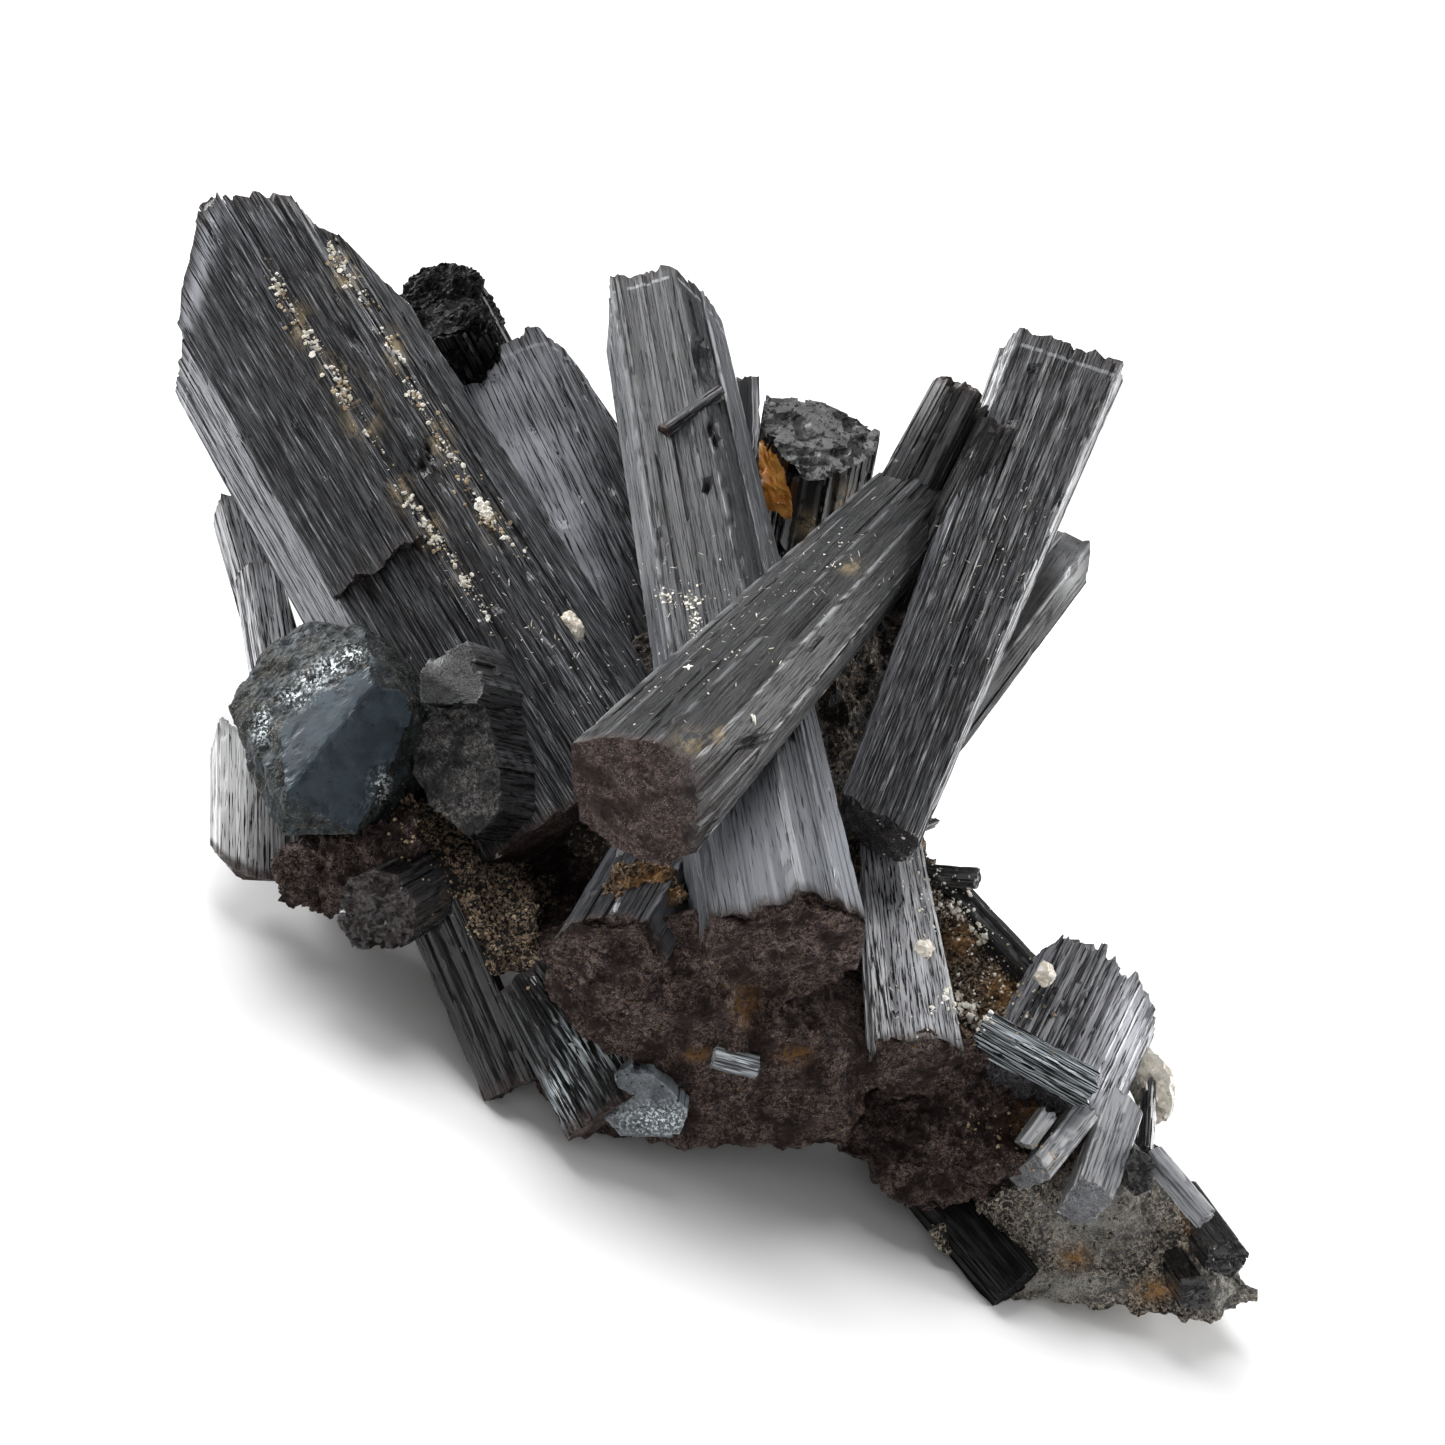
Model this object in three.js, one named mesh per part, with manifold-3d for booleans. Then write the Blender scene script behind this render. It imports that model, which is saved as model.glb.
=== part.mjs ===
// Schorl crystal cluster: black tourmaline prisms that grew together from one root, standing on the
// root's flat underside. Millimetres, +Z up, origin on the floor under the middle of the cluster.
import * as THREE from "three";
import { ConvexGeometry } from "three/addons/geometries/ConvexGeometry.js";
import { mergeVertices } from "three/addons/utils/BufferGeometryUtils.js";
import Module from "manifold-3d";

const wasm = await Module();
wasm.setup();

// The crystals are laid out as a person facing the cluster sees them: x to the right, y up, z towards
// the person. The whole layout is then turned to stand on its underside.
const LOOK_DOWN = 25; // degrees: the person looks down on the cluster this much
const LEAN = 25; // degrees: the cluster as seen leans over to the right this much
const UNDERSIDE = -22.5; // height of the flat underside below the layout's middle
const MIDDLE = new THREE.Vector3(0.2, 11.25, UNDERSIDE); // becomes the origin
const POCKET_GAP = 0.3; // clear space round a grain set in its pocket
const MERGE = 1e-4; // vertices nearer than this are one vertex

const FACING = new THREE.Vector3(0, 0, 1);
const UPWARD = new THREE.Vector3(0, 1, 0);

// A repeatable number from 0 to 1 for each seed.
function chance(seed) {
  const wave = Math.sin(seed * 12.9898) * 43758.5453;
  return wave - Math.floor(wave);
}

// Directions of one crystal: along runs from its near end to its far end, toward is the side that faces
// the person (or upward, for a crystal seen end on), across is square to both.
function axesOf({ near, far, endOn = false }) {
  const start = new THREE.Vector3(...near);
  const along = new THREE.Vector3(...far).sub(start);
  const length = along.length();
  along.normalize();
  const reference = endOn ? UPWARD : FACING;
  const toward = reference.clone().addScaledVector(along, -reference.dot(along)).normalize();
  const across = new THREE.Vector3().crossVectors(along, toward);
  return { start, along, toward, across, length };
}

// The corners of a straight prism. Each section corner is [across, toward, short, late]: short is how far
// that edge stops before the far end, late how far after the near end it starts. swell is the size of the
// section at the near end, narrow at the far end.
function prismCorners(crystal, section = crystal.section, extraShort = 0) {
  const { start, along, toward, across, length } = axesOf(crystal);
  const { swell = 1, narrow = 1 } = crystal;
  const place = (across_, toward_, height) => {
    const size = THREE.MathUtils.lerp(swell, narrow, height / length);
    return start
      .clone()
      .addScaledVector(across, across_ * size)
      .addScaledVector(toward, toward_ * size)
      .addScaledVector(along, height);
  };
  return section.flatMap(([a, t, short = 0, late = 0]) => [
    place(a, t, late),
    place(a, t, length - short - extraShort),
  ]);
}

// The part of a section between two lines across it, the ends of its edges worked out in proportion.
function band(section, low, high) {
  const keep = [];
  section.forEach((corner, i) => {
    const next = section[(i + 1) % section.length];
    if (corner[0] >= low && corner[0] <= high) keep.push(corner);
    for (const line of [low, high]) {
      const before = corner[0] - line;
      const after = next[0] - line;
      if (before * after < 0) {
        const share = before / (before - after);
        keep.push([0, 1, 2, 3].map((k) => THREE.MathUtils.lerp(corner[k] ?? 0, next[k] ?? 0, share)));
      }
    }
  });
  return keep;
}

function solidFrom(points) {
  return solidOf(new ConvexGeometry(points));
}

function solidOf(shape) {
  shape.deleteAttribute("normal");
  shape.deleteAttribute("uv");
  const merged = mergeVertices(shape, MERGE);
  return new wasm.Manifold(
    new wasm.Mesh({
      numProp: 3,
      vertProperties: merged.attributes.position.array,
      triVerts: new Uint32Array(merged.index.array),
    }),
  );
}

// A crystal as one solid, or as upright slats of unequal height where its far end is ragged.
function crystalSolid(crystal, seed) {
  const { slats = 1, bite = 0, section } = crystal;
  if (slats === 1) return solidFrom(prismCorners(crystal));
  const spans = section.map((corner) => corner[0]);
  const left = Math.min(...spans);
  const right = Math.max(...spans);
  let joined = solidFrom(prismCorners(crystal, section, bite));
  for (let i = 0; i < slats; i++) {
    const low = THREE.MathUtils.lerp(left, right, i / slats);
    const high = THREE.MathUtils.lerp(left, right, (i + 1) / slats);
    const short = bite * chance(seed * slats + i);
    joined = joined.add(solidFrom(prismCorners(crystal, band(section, low, high), short)));
  }
  return joined;
}

const asPoints = (corners) => corners.map((corner) => new THREE.Vector3(...corner));

// The great left crystal: parallel slabs side by side. The front slab keeps a thicker sheet above an old
// break, and its upper left corner is bevelled off.
const greatLeft = { near: [-9.2, -6.2, -2], far: [-34.7, 34.5, -15.8], swell: 1.13 };
const greatLeftSlabs = [
  {
    ...greatLeft,
    section: [
      [-8.4, -2.2, 8.8],
      [-5.2, 2.6, 7.2],
      [-0.2, 2.9, 1.2],
      [-0.2, -6.4, 0],
      [-4, -6.4, 3],
      [-7.4, -4.6, 7.4],
    ],
  },
  {
    ...greatLeft,
    slats: 3,
    bite: 0.7,
    section: [
      [-0.4, 2.9, 0.2],
      [1.4, 3, 0.8],
      [1.5, -6.6, 0.8],
      [-0.4, -6.6, 0],
    ],
  },
  {
    ...greatLeft,
    near: [-19.5, 10, -7.4],
    swell: 1.06,
    section: [
      [-5.4, 3.2, 7.2],
      [-0.3, 3.7, 1.1],
      [1.4, 3.8, 1],
      [1.3, 1, 0.8],
      [-5.3, 1, 6.6],
    ],
  },
  {
    ...greatLeft,
    slats: 5,
    bite: 1,
    section: [
      [1.3, 3, 0.9],
      [3.8, 2.7, 1.8],
      [5.5, 2.1, 3.2],
      [5.7, -5.6, 3],
      [1.3, -6.6, 0.8],
    ],
  },
  {
    ...greatLeft,
    slats: 3,
    bite: 1.2,
    section: [
      [5.4, 1.5, 4.8],
      [6.6, 1.1, 6.6],
      [8, -0.9, 12.4],
      [7.4, -4.4, 9],
      [5.4, -5.6, 4.6],
    ],
  },
];

// The crystals behind and to the right of it, and the long centre crystal whose broken end comes forward.
const upperCrystals = [
  {
    near: [-2.2, 0.2, -14],
    far: [-15.1, 27, -26],
    slats: 6,
    bite: 0.9,
    section: [
      [-5.6, -1.5, 0],
      [-4.6, 1.5, -0.4],
      [2.2, 2.3, 0.8],
      [3.3, 0.8, 1.8],
      [4.6, -2.4, 9],
      [3.4, -5, 3],
      [-4, -5, 0],
    ],
  },
  {
    endOn: true,
    near: [-19.3, 28.9, -23],
    far: [-13, 17, -38],
    section: [
      [-3.6, 1.8],
      [-2.6, 3.5],
      [-0.8, 4.3],
      [1.3, 3.3],
      [2.9, 1.7],
      [3.8, -1.6],
      [2.8, -3.4],
      [0.4, -4.4],
      [-2.6, -3.6],
    ],
  },
  {
    near: [3.7, -13.4, 11],
    far: [-4.5, 29.7, -20.8],
    narrow: 0.79,
    slats: 7,
    bite: 0.8,
    section: [
      [-5.3, 0.6, 5],
      [-3.9, 4.2, 0.6],
      [1.8, 4.8, 0.6],
      [3.8, 3.6, 3],
      [5.1, 1.2, 4.2],
      [4.6, -2.8, 3],
      [1.5, -5.2, 0],
      [-3, -4.9, 0],
      [-5.1, -2.2, 3],
    ],
  },
  {
    near: [2.1, 11.5, -24],
    far: [1.8, 24.6, -26],
    section: [
      [-0.9, 0.4],
      [0.2, 0.9],
      [0.9, 0.2],
      [0.6, -0.9],
      [-0.7, -0.8],
    ],
  },
  {
    endOn: true,
    near: [6.7, 19.2, -14],
    far: [4.6, 6, -28],
    section: [
      [-3.4, 4.4],
      [0.5, 3.7],
      [2.2, 2.4],
      [4.2, 0.6],
      [3.4, -1.8],
      [-0.4, -4.4],
      [-1.8, -4.4],
      [-3.6, -0.7],
      [-4.2, 1.2],
    ],
  },
  {
    near: [10.9, 12.6, -12.5],
    far: [16.2, 22.9, -10.5],
    swell: 1.15,
    slats: 4,
    bite: 0.8,
    section: [
      [-2, 0.3, 0.9],
      [-0.8, 1.8, 0.4],
      [1.4, 1.8, 0.2],
      [2.4, 0.2, 1.2],
      [1.2, -2, 1],
      [-1.4, -1.6, 0.6],
    ],
  },
  {
    near: [11.4, 6.5, -9],
    far: [18, 19.8, -9.8],
    section: [
      [-1.3, 0.8],
      [0.4, 1.6],
      [1.5, 0.6],
      [1.2, -1.8],
      [-1.2, -1.6],
    ],
  },
  {
    near: [9.3, -7.1, 1],
    far: [22.9, 24.8, -16.4],
    swell: 0.65,
    slats: 8,
    bite: 0.7,
    section: [
      [-4.3, 0.4, 1.4, 4],
      [-3.4, 2.8, 0.6, 2.6],
      [3.9, 3, 0],
      [4.6, 1.2, 0.6],
      [4.2, -2.6, 0.8],
      [1, -4.2, 0],
      [-3, -3.6, 0.4, 2],
    ],
  },
  {
    near: [6, -11.7, -13.7],
    far: [24.6, 12.1, -25],
    section: [
      [-3, 0.5, 0.6],
      [-1.2, 1.8, -0.6],
      [0.6, 1.7, -0.9],
      [2.3, 0.2, 1],
      [1.6, -2.4, 0.6],
      [-2, -2.4, 0.4],
    ],
  },
];

// Crystals whose broken ends face the person: the big one that lies across the centre, and those below.
const frontCrystals = [
  {
    near: [-5, -4.6, 18],
    far: [13, 14.6, -13],
    narrow: 0.68,
    section: [
      [-5, -0.3],
      [-3.9, 1.9],
      [-1.6, 4.1],
      [0.8, 4.1, 0, 1.4],
      [3.5, 2.1, 0, 9],
      [4.6, 0, 0, 0.4],
      [3.6, -2.5],
      [0.8, -4.3],
      [-1.6, -4],
      [-3.5, -2.4],
    ],
  },
  {
    near: [-6.7, -14, 12],
    far: [-1.4, -5, -6],
    section: [
      [-3.5, -1.3],
      [-3.1, 0.9],
      [-1.5, 2.2],
      [0.8, 3.7],
      [3, 2],
      [3.2, -1.5],
      [0.5, -3.8],
      [-1.7, -3.3],
      [-3.1, -2.4],
    ],
  },
  {
    near: [11.9, -21.1, 4],
    far: [10.3, -4.4, -8],
    narrow: 0.62,
    section: [
      [-3.1, 0.3],
      [-2.5, 2.4],
      [0.6, 3.2],
      [2.9, 1.6],
      [3.2, -0.6],
      [1.2, -3.2],
      [-2.4, -3],
    ],
  },
];

// The lower left: a stubby crystal with two sloping end facets, small ends beside and below it, and the
// splinters behind it.
const stubbyLeft = [
  [-20.3, 3.2, 12.4],
  [-25.6, -4.6, 11.6],
  [-26.6, -0.2, 10.8],
  [-18.6, 1, 8],
  [-20, -4.6, 8.4],
  [-26, 6.5, 4],
  [-23.2, 6.3, 4],
  [-21.5, 5.5, 5],
  [-21.4, -6.7, 3],
  [-27.8, -7.1, 3],
  [-28.7, -4.4, 5],
  [-29.7, -0.5, 5.4],
  [-30.3, 1.4, 4],
  [-28.5, 3.6, 4],
  [-26, 4, -9],
  [-20, 4, -9],
  [-17, -1, -9],
  [-18, -6, -8],
  [-27, -6, -8],
];
const lowerLeftCrystals = [
  {
    near: [-30.7, -10, 0],
    far: [-31.3, 0.7, -4],
    section: [
      [-1.5, 0, 2.6, 2.6],
      [-0.6, 1.2, 0.4, 1],
      [1.2, 1, 2, 0],
      [4.4, -1.2, 3, 0],
      [3.6, -4, 3, 1],
      [0.2, -3.2, 1, 1],
    ],
  },
  {
    near: [-26.5, -9, -12],
    far: [-35.1, 15.6, -22],
    section: [
      [-1, 0, 1.2],
      [0.3, 1.2, 0],
      [2.8, 0.5, 0.6],
      [2.4, -2, 0],
      [-0.5, -1.8, 0.4],
    ],
  },
  {
    near: [-28, -8, -8],
    far: [-32.5, 10.4, -18],
    section: [
      [-1.1, 0.2, 0.4, 0.8],
      [0.2, 1.2],
      [2.4, 0.6],
      [2.2, -1.8],
      [-0.6, -1.6],
    ],
  },
  {
    endOn: true,
    near: [-20.7, -11.2, 9],
    far: [-15, -8, -8],
    section: [
      [-1.9, 1.9],
      [-0.1, 2.5],
      [1.5, 2.2],
      [2.6, 0.4],
      [2.5, -1.5],
      [1.5, -2.4],
      [-1.8, -2.6],
      [-2.8, -0.8],
    ],
  },
  {
    endOn: true,
    near: [-16.4, -1.8, 6],
    far: [-12, -3.1, -10],
    section: [
      [-2.7, 1.2],
      [-0.7, 2.9],
      [1.9, 3.2],
      [2.9, -0.5],
      [2.6, -2.9],
      [-0.1, -2.9],
      [-2.6, -1.4],
    ],
  },
  {
    near: [-13.1, -22.7, 5],
    far: [-18.3, -11.2, 3],
    section: [
      [-1.5, 0.1, 0.8],
      [-0.2, 1.4],
      [1.1, 0.6],
      [1, -1.2],
      [-0.9, -1.3],
    ],
  },
  {
    near: [-8, -24.4, 6],
    far: [-13.5, -15.9, 2],
    narrow: 0.6,
    section: [
      [-1.9, 0],
      [-0.8, 1.3],
      [2, 1.5],
      [4.4, 0.3],
      [3.5, -2.5],
      [-1.2, -2.5],
    ],
  },
  {
    endOn: true,
    near: [-4.3, -22.9, 9],
    far: [-4, -18, -6],
    section: [
      [-2.3, 1.6, 0, 0.8],
      [-1.2, 2.4, 0, 1],
      [0.3, 2, 0, 0.4],
      [2.4, -0.2],
      [1.8, -2.1],
      [-1.8, -2.1],
      [-3, -1.1, 0, 0.8],
    ],
  },
];

// The lower right: a ribbed fragment with a jagged end, a small crystal lying across, thin slabs, and
// the stubs in the lobe below.
const lowerRightCrystals = [
  {
    near: [20.4, -23.8, 0],
    far: [25.3, -15.8, -6.4],
    slats: 9,
    bite: 1.1,
    section: [
      [-5.1, -0.5, 2.6, 1.4],
      [-4.2, 1.6, 0.6],
      [-1, 2.2, 0],
      [3.4, 1.3, 1],
      [4.6, -0.8, 2.4, 3],
      [3, -2.8, 1],
      [-3.5, -2.8, 0.6],
    ],
  },
  {
    near: [15.8, -18.9, 2.2],
    far: [23, -22.8, 3.8],
    section: [
      [-1.4, 0, 0.4],
      [-0.6, 1.3],
      [0.8, 1.3],
      [1.5, 0.1, 0.6, 1.4],
      [0.6, -3, 1.4, 0.8],
      [-0.8, -3, 1.4],
    ],
  },
  {
    near: [18.6, -26, 4],
    far: [20.3, -23.8, 3.6],
    section: [
      [-0.6, 0],
      [0, 0.6],
      [0.5, 0],
      [0.2, -4],
      [-0.3, -4],
    ],
  },
  {
    near: [19.3, -27.4, 5],
    far: [22.7, -23.8, 2.4],
    section: [
      [-0.9, 0.1],
      [-0.2, 0.8],
      [0.8, 0.2],
      [0.6, -4],
      [-0.6, -4],
    ],
  },
  {
    near: [22.6, -28.8, 4.4],
    far: [25.2, -23.3, 0],
    slats: 3,
    bite: 0.9,
    section: [
      [-1.2, 0.2],
      [-0.2, 1],
      [1.4, 0.3, 0.8],
      [1.2, -4],
      [-1, -4],
    ],
  },
  {
    near: [26.5, -26.6, 1.4],
    far: [29.8, -30.6, 3],
    section: [
      [-0.8, 0],
      [0, 0.8],
      [0.9, 0.1],
      [0.6, -2],
      [-0.6, -2],
    ],
  },
  {
    near: [26.7, -27, -1.4],
    far: [27.4, -22.4, -4.4],
    section: [
      [-0.6, 0],
      [0, 0.6],
      [0.6, 0],
      [0.4, -2.6],
      [-0.4, -2.6],
    ],
  },
  {
    endOn: true,
    near: [25.6, -27.4, 3.4],
    far: [25, -27, -4],
    section: [
      [-0.9, 0.2],
      [0, 1.2],
      [1, 0.5],
      [0.9, -1.3],
      [-0.3, -1.8],
    ],
  },
  {
    near: [11.4, -9.6, -5],
    far: [16.4, -9.9, -3.6],
    section: [
      [-0.8, 0],
      [-0.3, 0.75],
      [0.5, 0.7],
      [0.8, 0],
      [0.3, -0.75],
      [-0.5, -0.7],
    ],
  },
  {
    near: [20.5, -17, -5.4],
    far: [14.2, -10.3, -7],
    section: [
      [-1.1, 0],
      [-0.4, 1.1],
      [0.8, 0.8],
      [1.2, -0.4],
      [0.4, -1.6],
      [-0.9, -1.4],
    ],
  },
  {
    near: [10.8, -7.4, -5],
    far: [13.8, -6.4, -7.6],
    section: [
      [-0.5, 0],
      [0, 0.6],
      [0.5, 0],
      [0, -0.9],
    ],
  },
  {
    near: [18.2, -35.2, 1.6],
    far: [12.4, -28.6, -2],
    section: [
      [-1.9, 0.2],
      [-0.6, 2],
      [1.3, 1.5],
      [2, -0.6],
      [0, -2.4],
      [-1.7, -1.6],
    ],
  },
  {
    endOn: true,
    near: [31.4, -33.4, 0.6],
    far: [30, -31, -8],
    section: [
      [-1.4, -0.8],
      [-1.2, 0.9],
      [0.6, 1.4],
      [1.6, 0.2],
      [0.8, -1.5],
    ],
  },
  {
    endOn: true,
    near: [29.3, -35.4, 1.4],
    far: [28, -33, -7],
    section: [
      [-1, -1],
      [-1.1, 0.9],
      [0.4, 1.2],
      [1.2, 0],
      [0.6, -1.3],
    ],
  },
];

// A thin crystal that lies across the centre crystal, grown fast to it.
const crossedNeedle = {
  near: [-3.9, 18.9, -8.1],
  far: [0.1, 21.9, -10.3],
  section: [
    [-0.45, 0],
    [0, 0.5],
    [0.45, 0],
    [0.2, -1.1],
    [-0.2, -1.1],
  ],
};

// The rough brown root and the granular rock left between the crystals.
const rootLumps = [
  [
    [-12.2, -22.7, 1],
    [-8.7, -25.5, 3],
    [-2, -26.1, 5],
    [7.8, -26.4, 4],
    [-8.4, -17, 9.4],
    [-1.3, -20.1, 9],
    [6.7, -18.6, 8.6],
    [-10.6, -14.4, 8],
    [10, -20, 2],
    [-14, -12, -14],
    [10, -14, -14],
    [0, -6, -14],
  ],
  [
    [-20, -4.1, 3],
    [-15.9, -7.6, 2],
    [-11.6, -12.4, 3],
    [-11.2, -15.4, 5],
    [-15.1, -15.8, 5],
    [-18.2, -12, 3],
    [-20, -10, -9],
    [-13, -4, -12],
    [-10, -14, -10],
  ],
  [
    [-28.4, -8.4, 2],
    [-27, -11.4, 1],
    [-24.2, -12.6, 3],
    [-21.6, -6.8, 6.4],
    [-18.6, -8.6, 6],
    [-18.4, -5.4, 7],
    [-27, -10, -7],
    [-18, -9, -8],
    [-22, -4, -8],
  ],
  [
    [7.8, -26.6, 3],
    [9.7, -28.6, 1.4],
    [12.5, -31.9, 1.4],
    [17.3, -36.2, 0.4],
    [25.5, -36.7, 0],
    [31.1, -38.2, -2],
    [34.4, -37, -4],
    [33.3, -34, -4],
    [30.3, -30.3, -2.6],
    [27.1, -26.2, -3],
    [13, -19, -3],
    [20.6, -16.4, -7],
    [18, -28, 3.4],
    [10, -20, -14],
    [30, -32, -12],
    [20, -28, -15],
  ],
  [
    [-9, 4, -12],
    [-2, 8, -14],
    [8, 6, -14],
    [14, 2, -14],
    [12, -12, -4],
    [-10, -8, -2],
    [-12, -4, -16],
    [10, -6, -20],
    [0, 0, -2],
    [0, -14, 4],
  ],
];

// Hidden behind, placed in the standing part's own directions: x right, y back, z up, from the layout's
// middle. The root reaches back as far as the cluster needs to stand.
const backRoot = [
  [-21, 4, -24],
  [-20, 13, -24],
  [-7, 20, -24],
  [11, 19, -24],
  [24, 12, -24],
  [27, 5, -24],
  [18, 1, -24],
  [-10, 1, -24],
  [-17, 10, -15],
  [-6, 17, -13],
  [10, 15, -13],
  [20, 9, -15],
  [-6, 6, -4],
  [6, 8, -4],
];
const BACK_SECTION = [
  [-1, 0.1],
  [-0.45, 0.8],
  [0.55, 0.85],
  [1, 0],
  [0.5, -0.8],
  [-0.6, -0.75],
];
const backCrystals = [
  { near: [-4, 8, -13], far: [-15, 30, -3], half: 3.4 },
  { near: [2, 8, -13], far: [0, 30, -1], half: 3.6 },
  { near: [8, 6, -14], far: [13, 27, -12], half: 2.4 },
  { near: [-8, 5, -13], far: [-23, 19, -10], half: 2.6 },
  { near: [13, 5, -19], far: [22, 15, -19], half: 1.9 },
  { near: [-2, 12, -17], far: [-9, 29, -13], half: 2.4 },
  { near: [6, 12, -17], far: [9, 28, -15], half: 2.3 },
];

// Separate grains of other minerals, each a little lump with its own centre, half sizes and turn.
const grains = [
  { name: "orange_grain", centre: [3.4, 16.2, -15.6], half: [1.1, 2.7, 1], turn: 26, colour: 0xa8611c },
  { name: "quartz_grain", centre: [27.4, -23.4, -4.6], half: [1.6, 2.6, 1.6], turn: 12, colour: 0xb9ad97 },
  { name: "feldspar_grain_left", centre: [-9.6, 6, -3.5], half: [0.85, 1.15, 0.8], turn: 10, colour: 0xd9d0bd },
  { name: "feldspar_grain_front", centre: [12.5, -14.1, 1.8], half: [0.8, 0.7, 0.6], turn: 20, colour: 0xd9d0bd },
  { name: "feldspar_grain_right", centre: [20.3, -15.9, -1.4], half: [0.85, 1, 0.7], turn: -20, colour: 0xd9d0bd },
];

// Small hollows broken into the root: one rust-stained pocket beside the big broken end, one under the
// stubby crystal at the left.
const hollows = [
  { centre: [-4.8, -10.2, 10.6], half: [2.3, 0.9, 1.7], turn: 0 },
  { centre: [-26, -10.9, 2.9], half: [2.1, 0.8, 1.6], turn: -15 },
];

// An angular lump: a coarse ball with each corner pulled in or out a little.
function lumpSolid({ centre, half, turn }, seed, grow = 0) {
  const ball = mergeVertices(new THREE.IcosahedronGeometry(1, 0).deleteAttribute("normal").deleteAttribute("uv"));
  const spin = THREE.MathUtils.degToRad(turn);
  const corners = [];
  for (let i = 0; i < ball.attributes.position.count; i++) {
    const corner = new THREE.Vector3().fromBufferAttribute(ball.attributes.position, i);
    corner.multiplyScalar(0.85 + 0.3 * chance(seed * 31 + i));
    corner.multiply(new THREE.Vector3(...half.map((size) => size + grow)));
    corner.applyAxisAngle(FACING, spin).add(new THREE.Vector3(...centre));
    corners.push(corner);
  }
  return solidFrom(corners);
}

const turnToStand = new THREE.Matrix4().makeRotationFromEuler(
  new THREE.Euler(THREE.MathUtils.degToRad(90 - LOOK_DOWN), 0, THREE.MathUtils.degToRad(LEAN), "XYZ"),
);
const turnBack = turnToStand.clone().invert();
const inLayout = (points) => points.map((point) => point.applyMatrix4(turnBack));

// Everything black or brown is one solid, joined in the layout and cut flat underneath.
function clusterSolid() {
  const crystals = [
    ...greatLeftSlabs,
    ...upperCrystals,
    ...frontCrystals,
    ...lowerLeftCrystals,
    ...lowerRightCrystals,
    crossedNeedle,
  ];
  const pieces = crystals.map((crystal, i) => crystalSolid(crystal, i + 1));
  pieces.push(solidFrom(asPoints(stubbyLeft)));
  pieces.push(...rootLumps.map((lump) => solidFrom(asPoints(lump))));
  pieces.push(solidFrom(inLayout(asPoints(backRoot))));
  for (const { half, ...ends } of backCrystals) {
    const section = BACK_SECTION.map(([a, t]) => [a * half, t * half]);
    pieces.push(solidFrom(inLayout(prismCorners({ ...ends, section }))));
  }
  const joined = pieces.reduce((whole, piece) => whole.add(piece));
  const FLOOR_SPAN = 200;
  const below = new THREE.BoxGeometry(FLOOR_SPAN, FLOOR_SPAN, FLOOR_SPAN)
    .translate(0, 0, UNDERSIDE - FLOOR_SPAN / 2)
    .applyMatrix4(turnBack);
  return joined.subtract(solidOf(below));
}

function meshOf(name, solid, colour, roughness) {
  const { vertProperties, triVerts } = solid.getMesh();
  const shape = new THREE.BufferGeometry();
  shape.setAttribute("position", new THREE.BufferAttribute(new Float32Array(vertProperties), 3));
  shape.setIndex(new THREE.BufferAttribute(new Uint32Array(triVerts), 1));
  shape.computeVertexNormals();
  const material = new THREE.MeshStandardMaterial({ color: colour, roughness, metalness: 0 });
  const mesh = new THREE.Mesh(shape, material);
  mesh.name = name;
  return mesh;
}

const SCHORL_BLACK = 0x17171a;
let cluster = clusterSolid();
hollows.forEach((hollow, i) => {
  cluster = cluster.subtract(lumpSolid(hollow, grains.length + i));
});
const layout = new THREE.Group();
grains.forEach((grain, i) => {
  cluster = cluster.subtract(lumpSolid(grain, i, POCKET_GAP));
  layout.add(meshOf(grain.name, lumpSolid(grain, i), grain.colour, 0.55));
});
layout.add(meshOf("schorl_cluster", cluster, SCHORL_BLACK, 0.35));
layout.applyMatrix4(turnToStand);
layout.position.sub(MIDDLE);

const part = new THREE.Group();
part.add(layout);

export default part;
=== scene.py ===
"""Looks of the schorl crystal cluster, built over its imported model. Metres, +Z up, origin on the floor."""
import itertools
import math

import bmesh
import bpy
import numpy as np
from mathutils import Matrix, Vector, noise
from mathutils.bvhtree import BVHTree
from mathutils.geometry import delaunay_2d_cdt


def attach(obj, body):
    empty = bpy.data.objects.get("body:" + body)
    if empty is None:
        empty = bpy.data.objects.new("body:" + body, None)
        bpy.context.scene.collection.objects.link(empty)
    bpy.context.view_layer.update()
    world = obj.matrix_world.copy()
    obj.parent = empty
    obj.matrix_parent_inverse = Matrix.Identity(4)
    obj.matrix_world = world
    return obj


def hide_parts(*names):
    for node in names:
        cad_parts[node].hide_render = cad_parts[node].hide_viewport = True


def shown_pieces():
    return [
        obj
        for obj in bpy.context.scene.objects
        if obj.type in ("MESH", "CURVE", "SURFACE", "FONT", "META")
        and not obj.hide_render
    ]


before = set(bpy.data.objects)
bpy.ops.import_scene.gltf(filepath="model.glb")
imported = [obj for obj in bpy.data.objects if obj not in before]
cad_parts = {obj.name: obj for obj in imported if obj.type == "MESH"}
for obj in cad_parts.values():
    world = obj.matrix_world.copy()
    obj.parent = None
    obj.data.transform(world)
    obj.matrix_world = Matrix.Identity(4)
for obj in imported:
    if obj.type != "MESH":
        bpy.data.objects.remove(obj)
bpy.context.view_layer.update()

# The broken root.
# The crystals grew from one root that was torn from the rock: a dull, brown, splintery surface that takes
# in the broken lower ends of the three crystals in front. It is laid out as the camera sees the cluster.
LOOK_DOWN = 25  # degrees
LEAN = 25  # degrees
MIDDLE = Vector((0.2, 11.25, -22.5))  # mm, the layout's point that stands on the floor
MM = 0.001
UPRIGHT = Matrix.Scale(MM, 4) @ Matrix.Translation(-MIDDLE)
STAND = (
    UPRIGHT
    @ Matrix.Rotation(math.radians(90 - LOOK_DOWN), 4, "X")
    @ Matrix.Rotation(math.radians(LEAN), 4, "Z")
)
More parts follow.
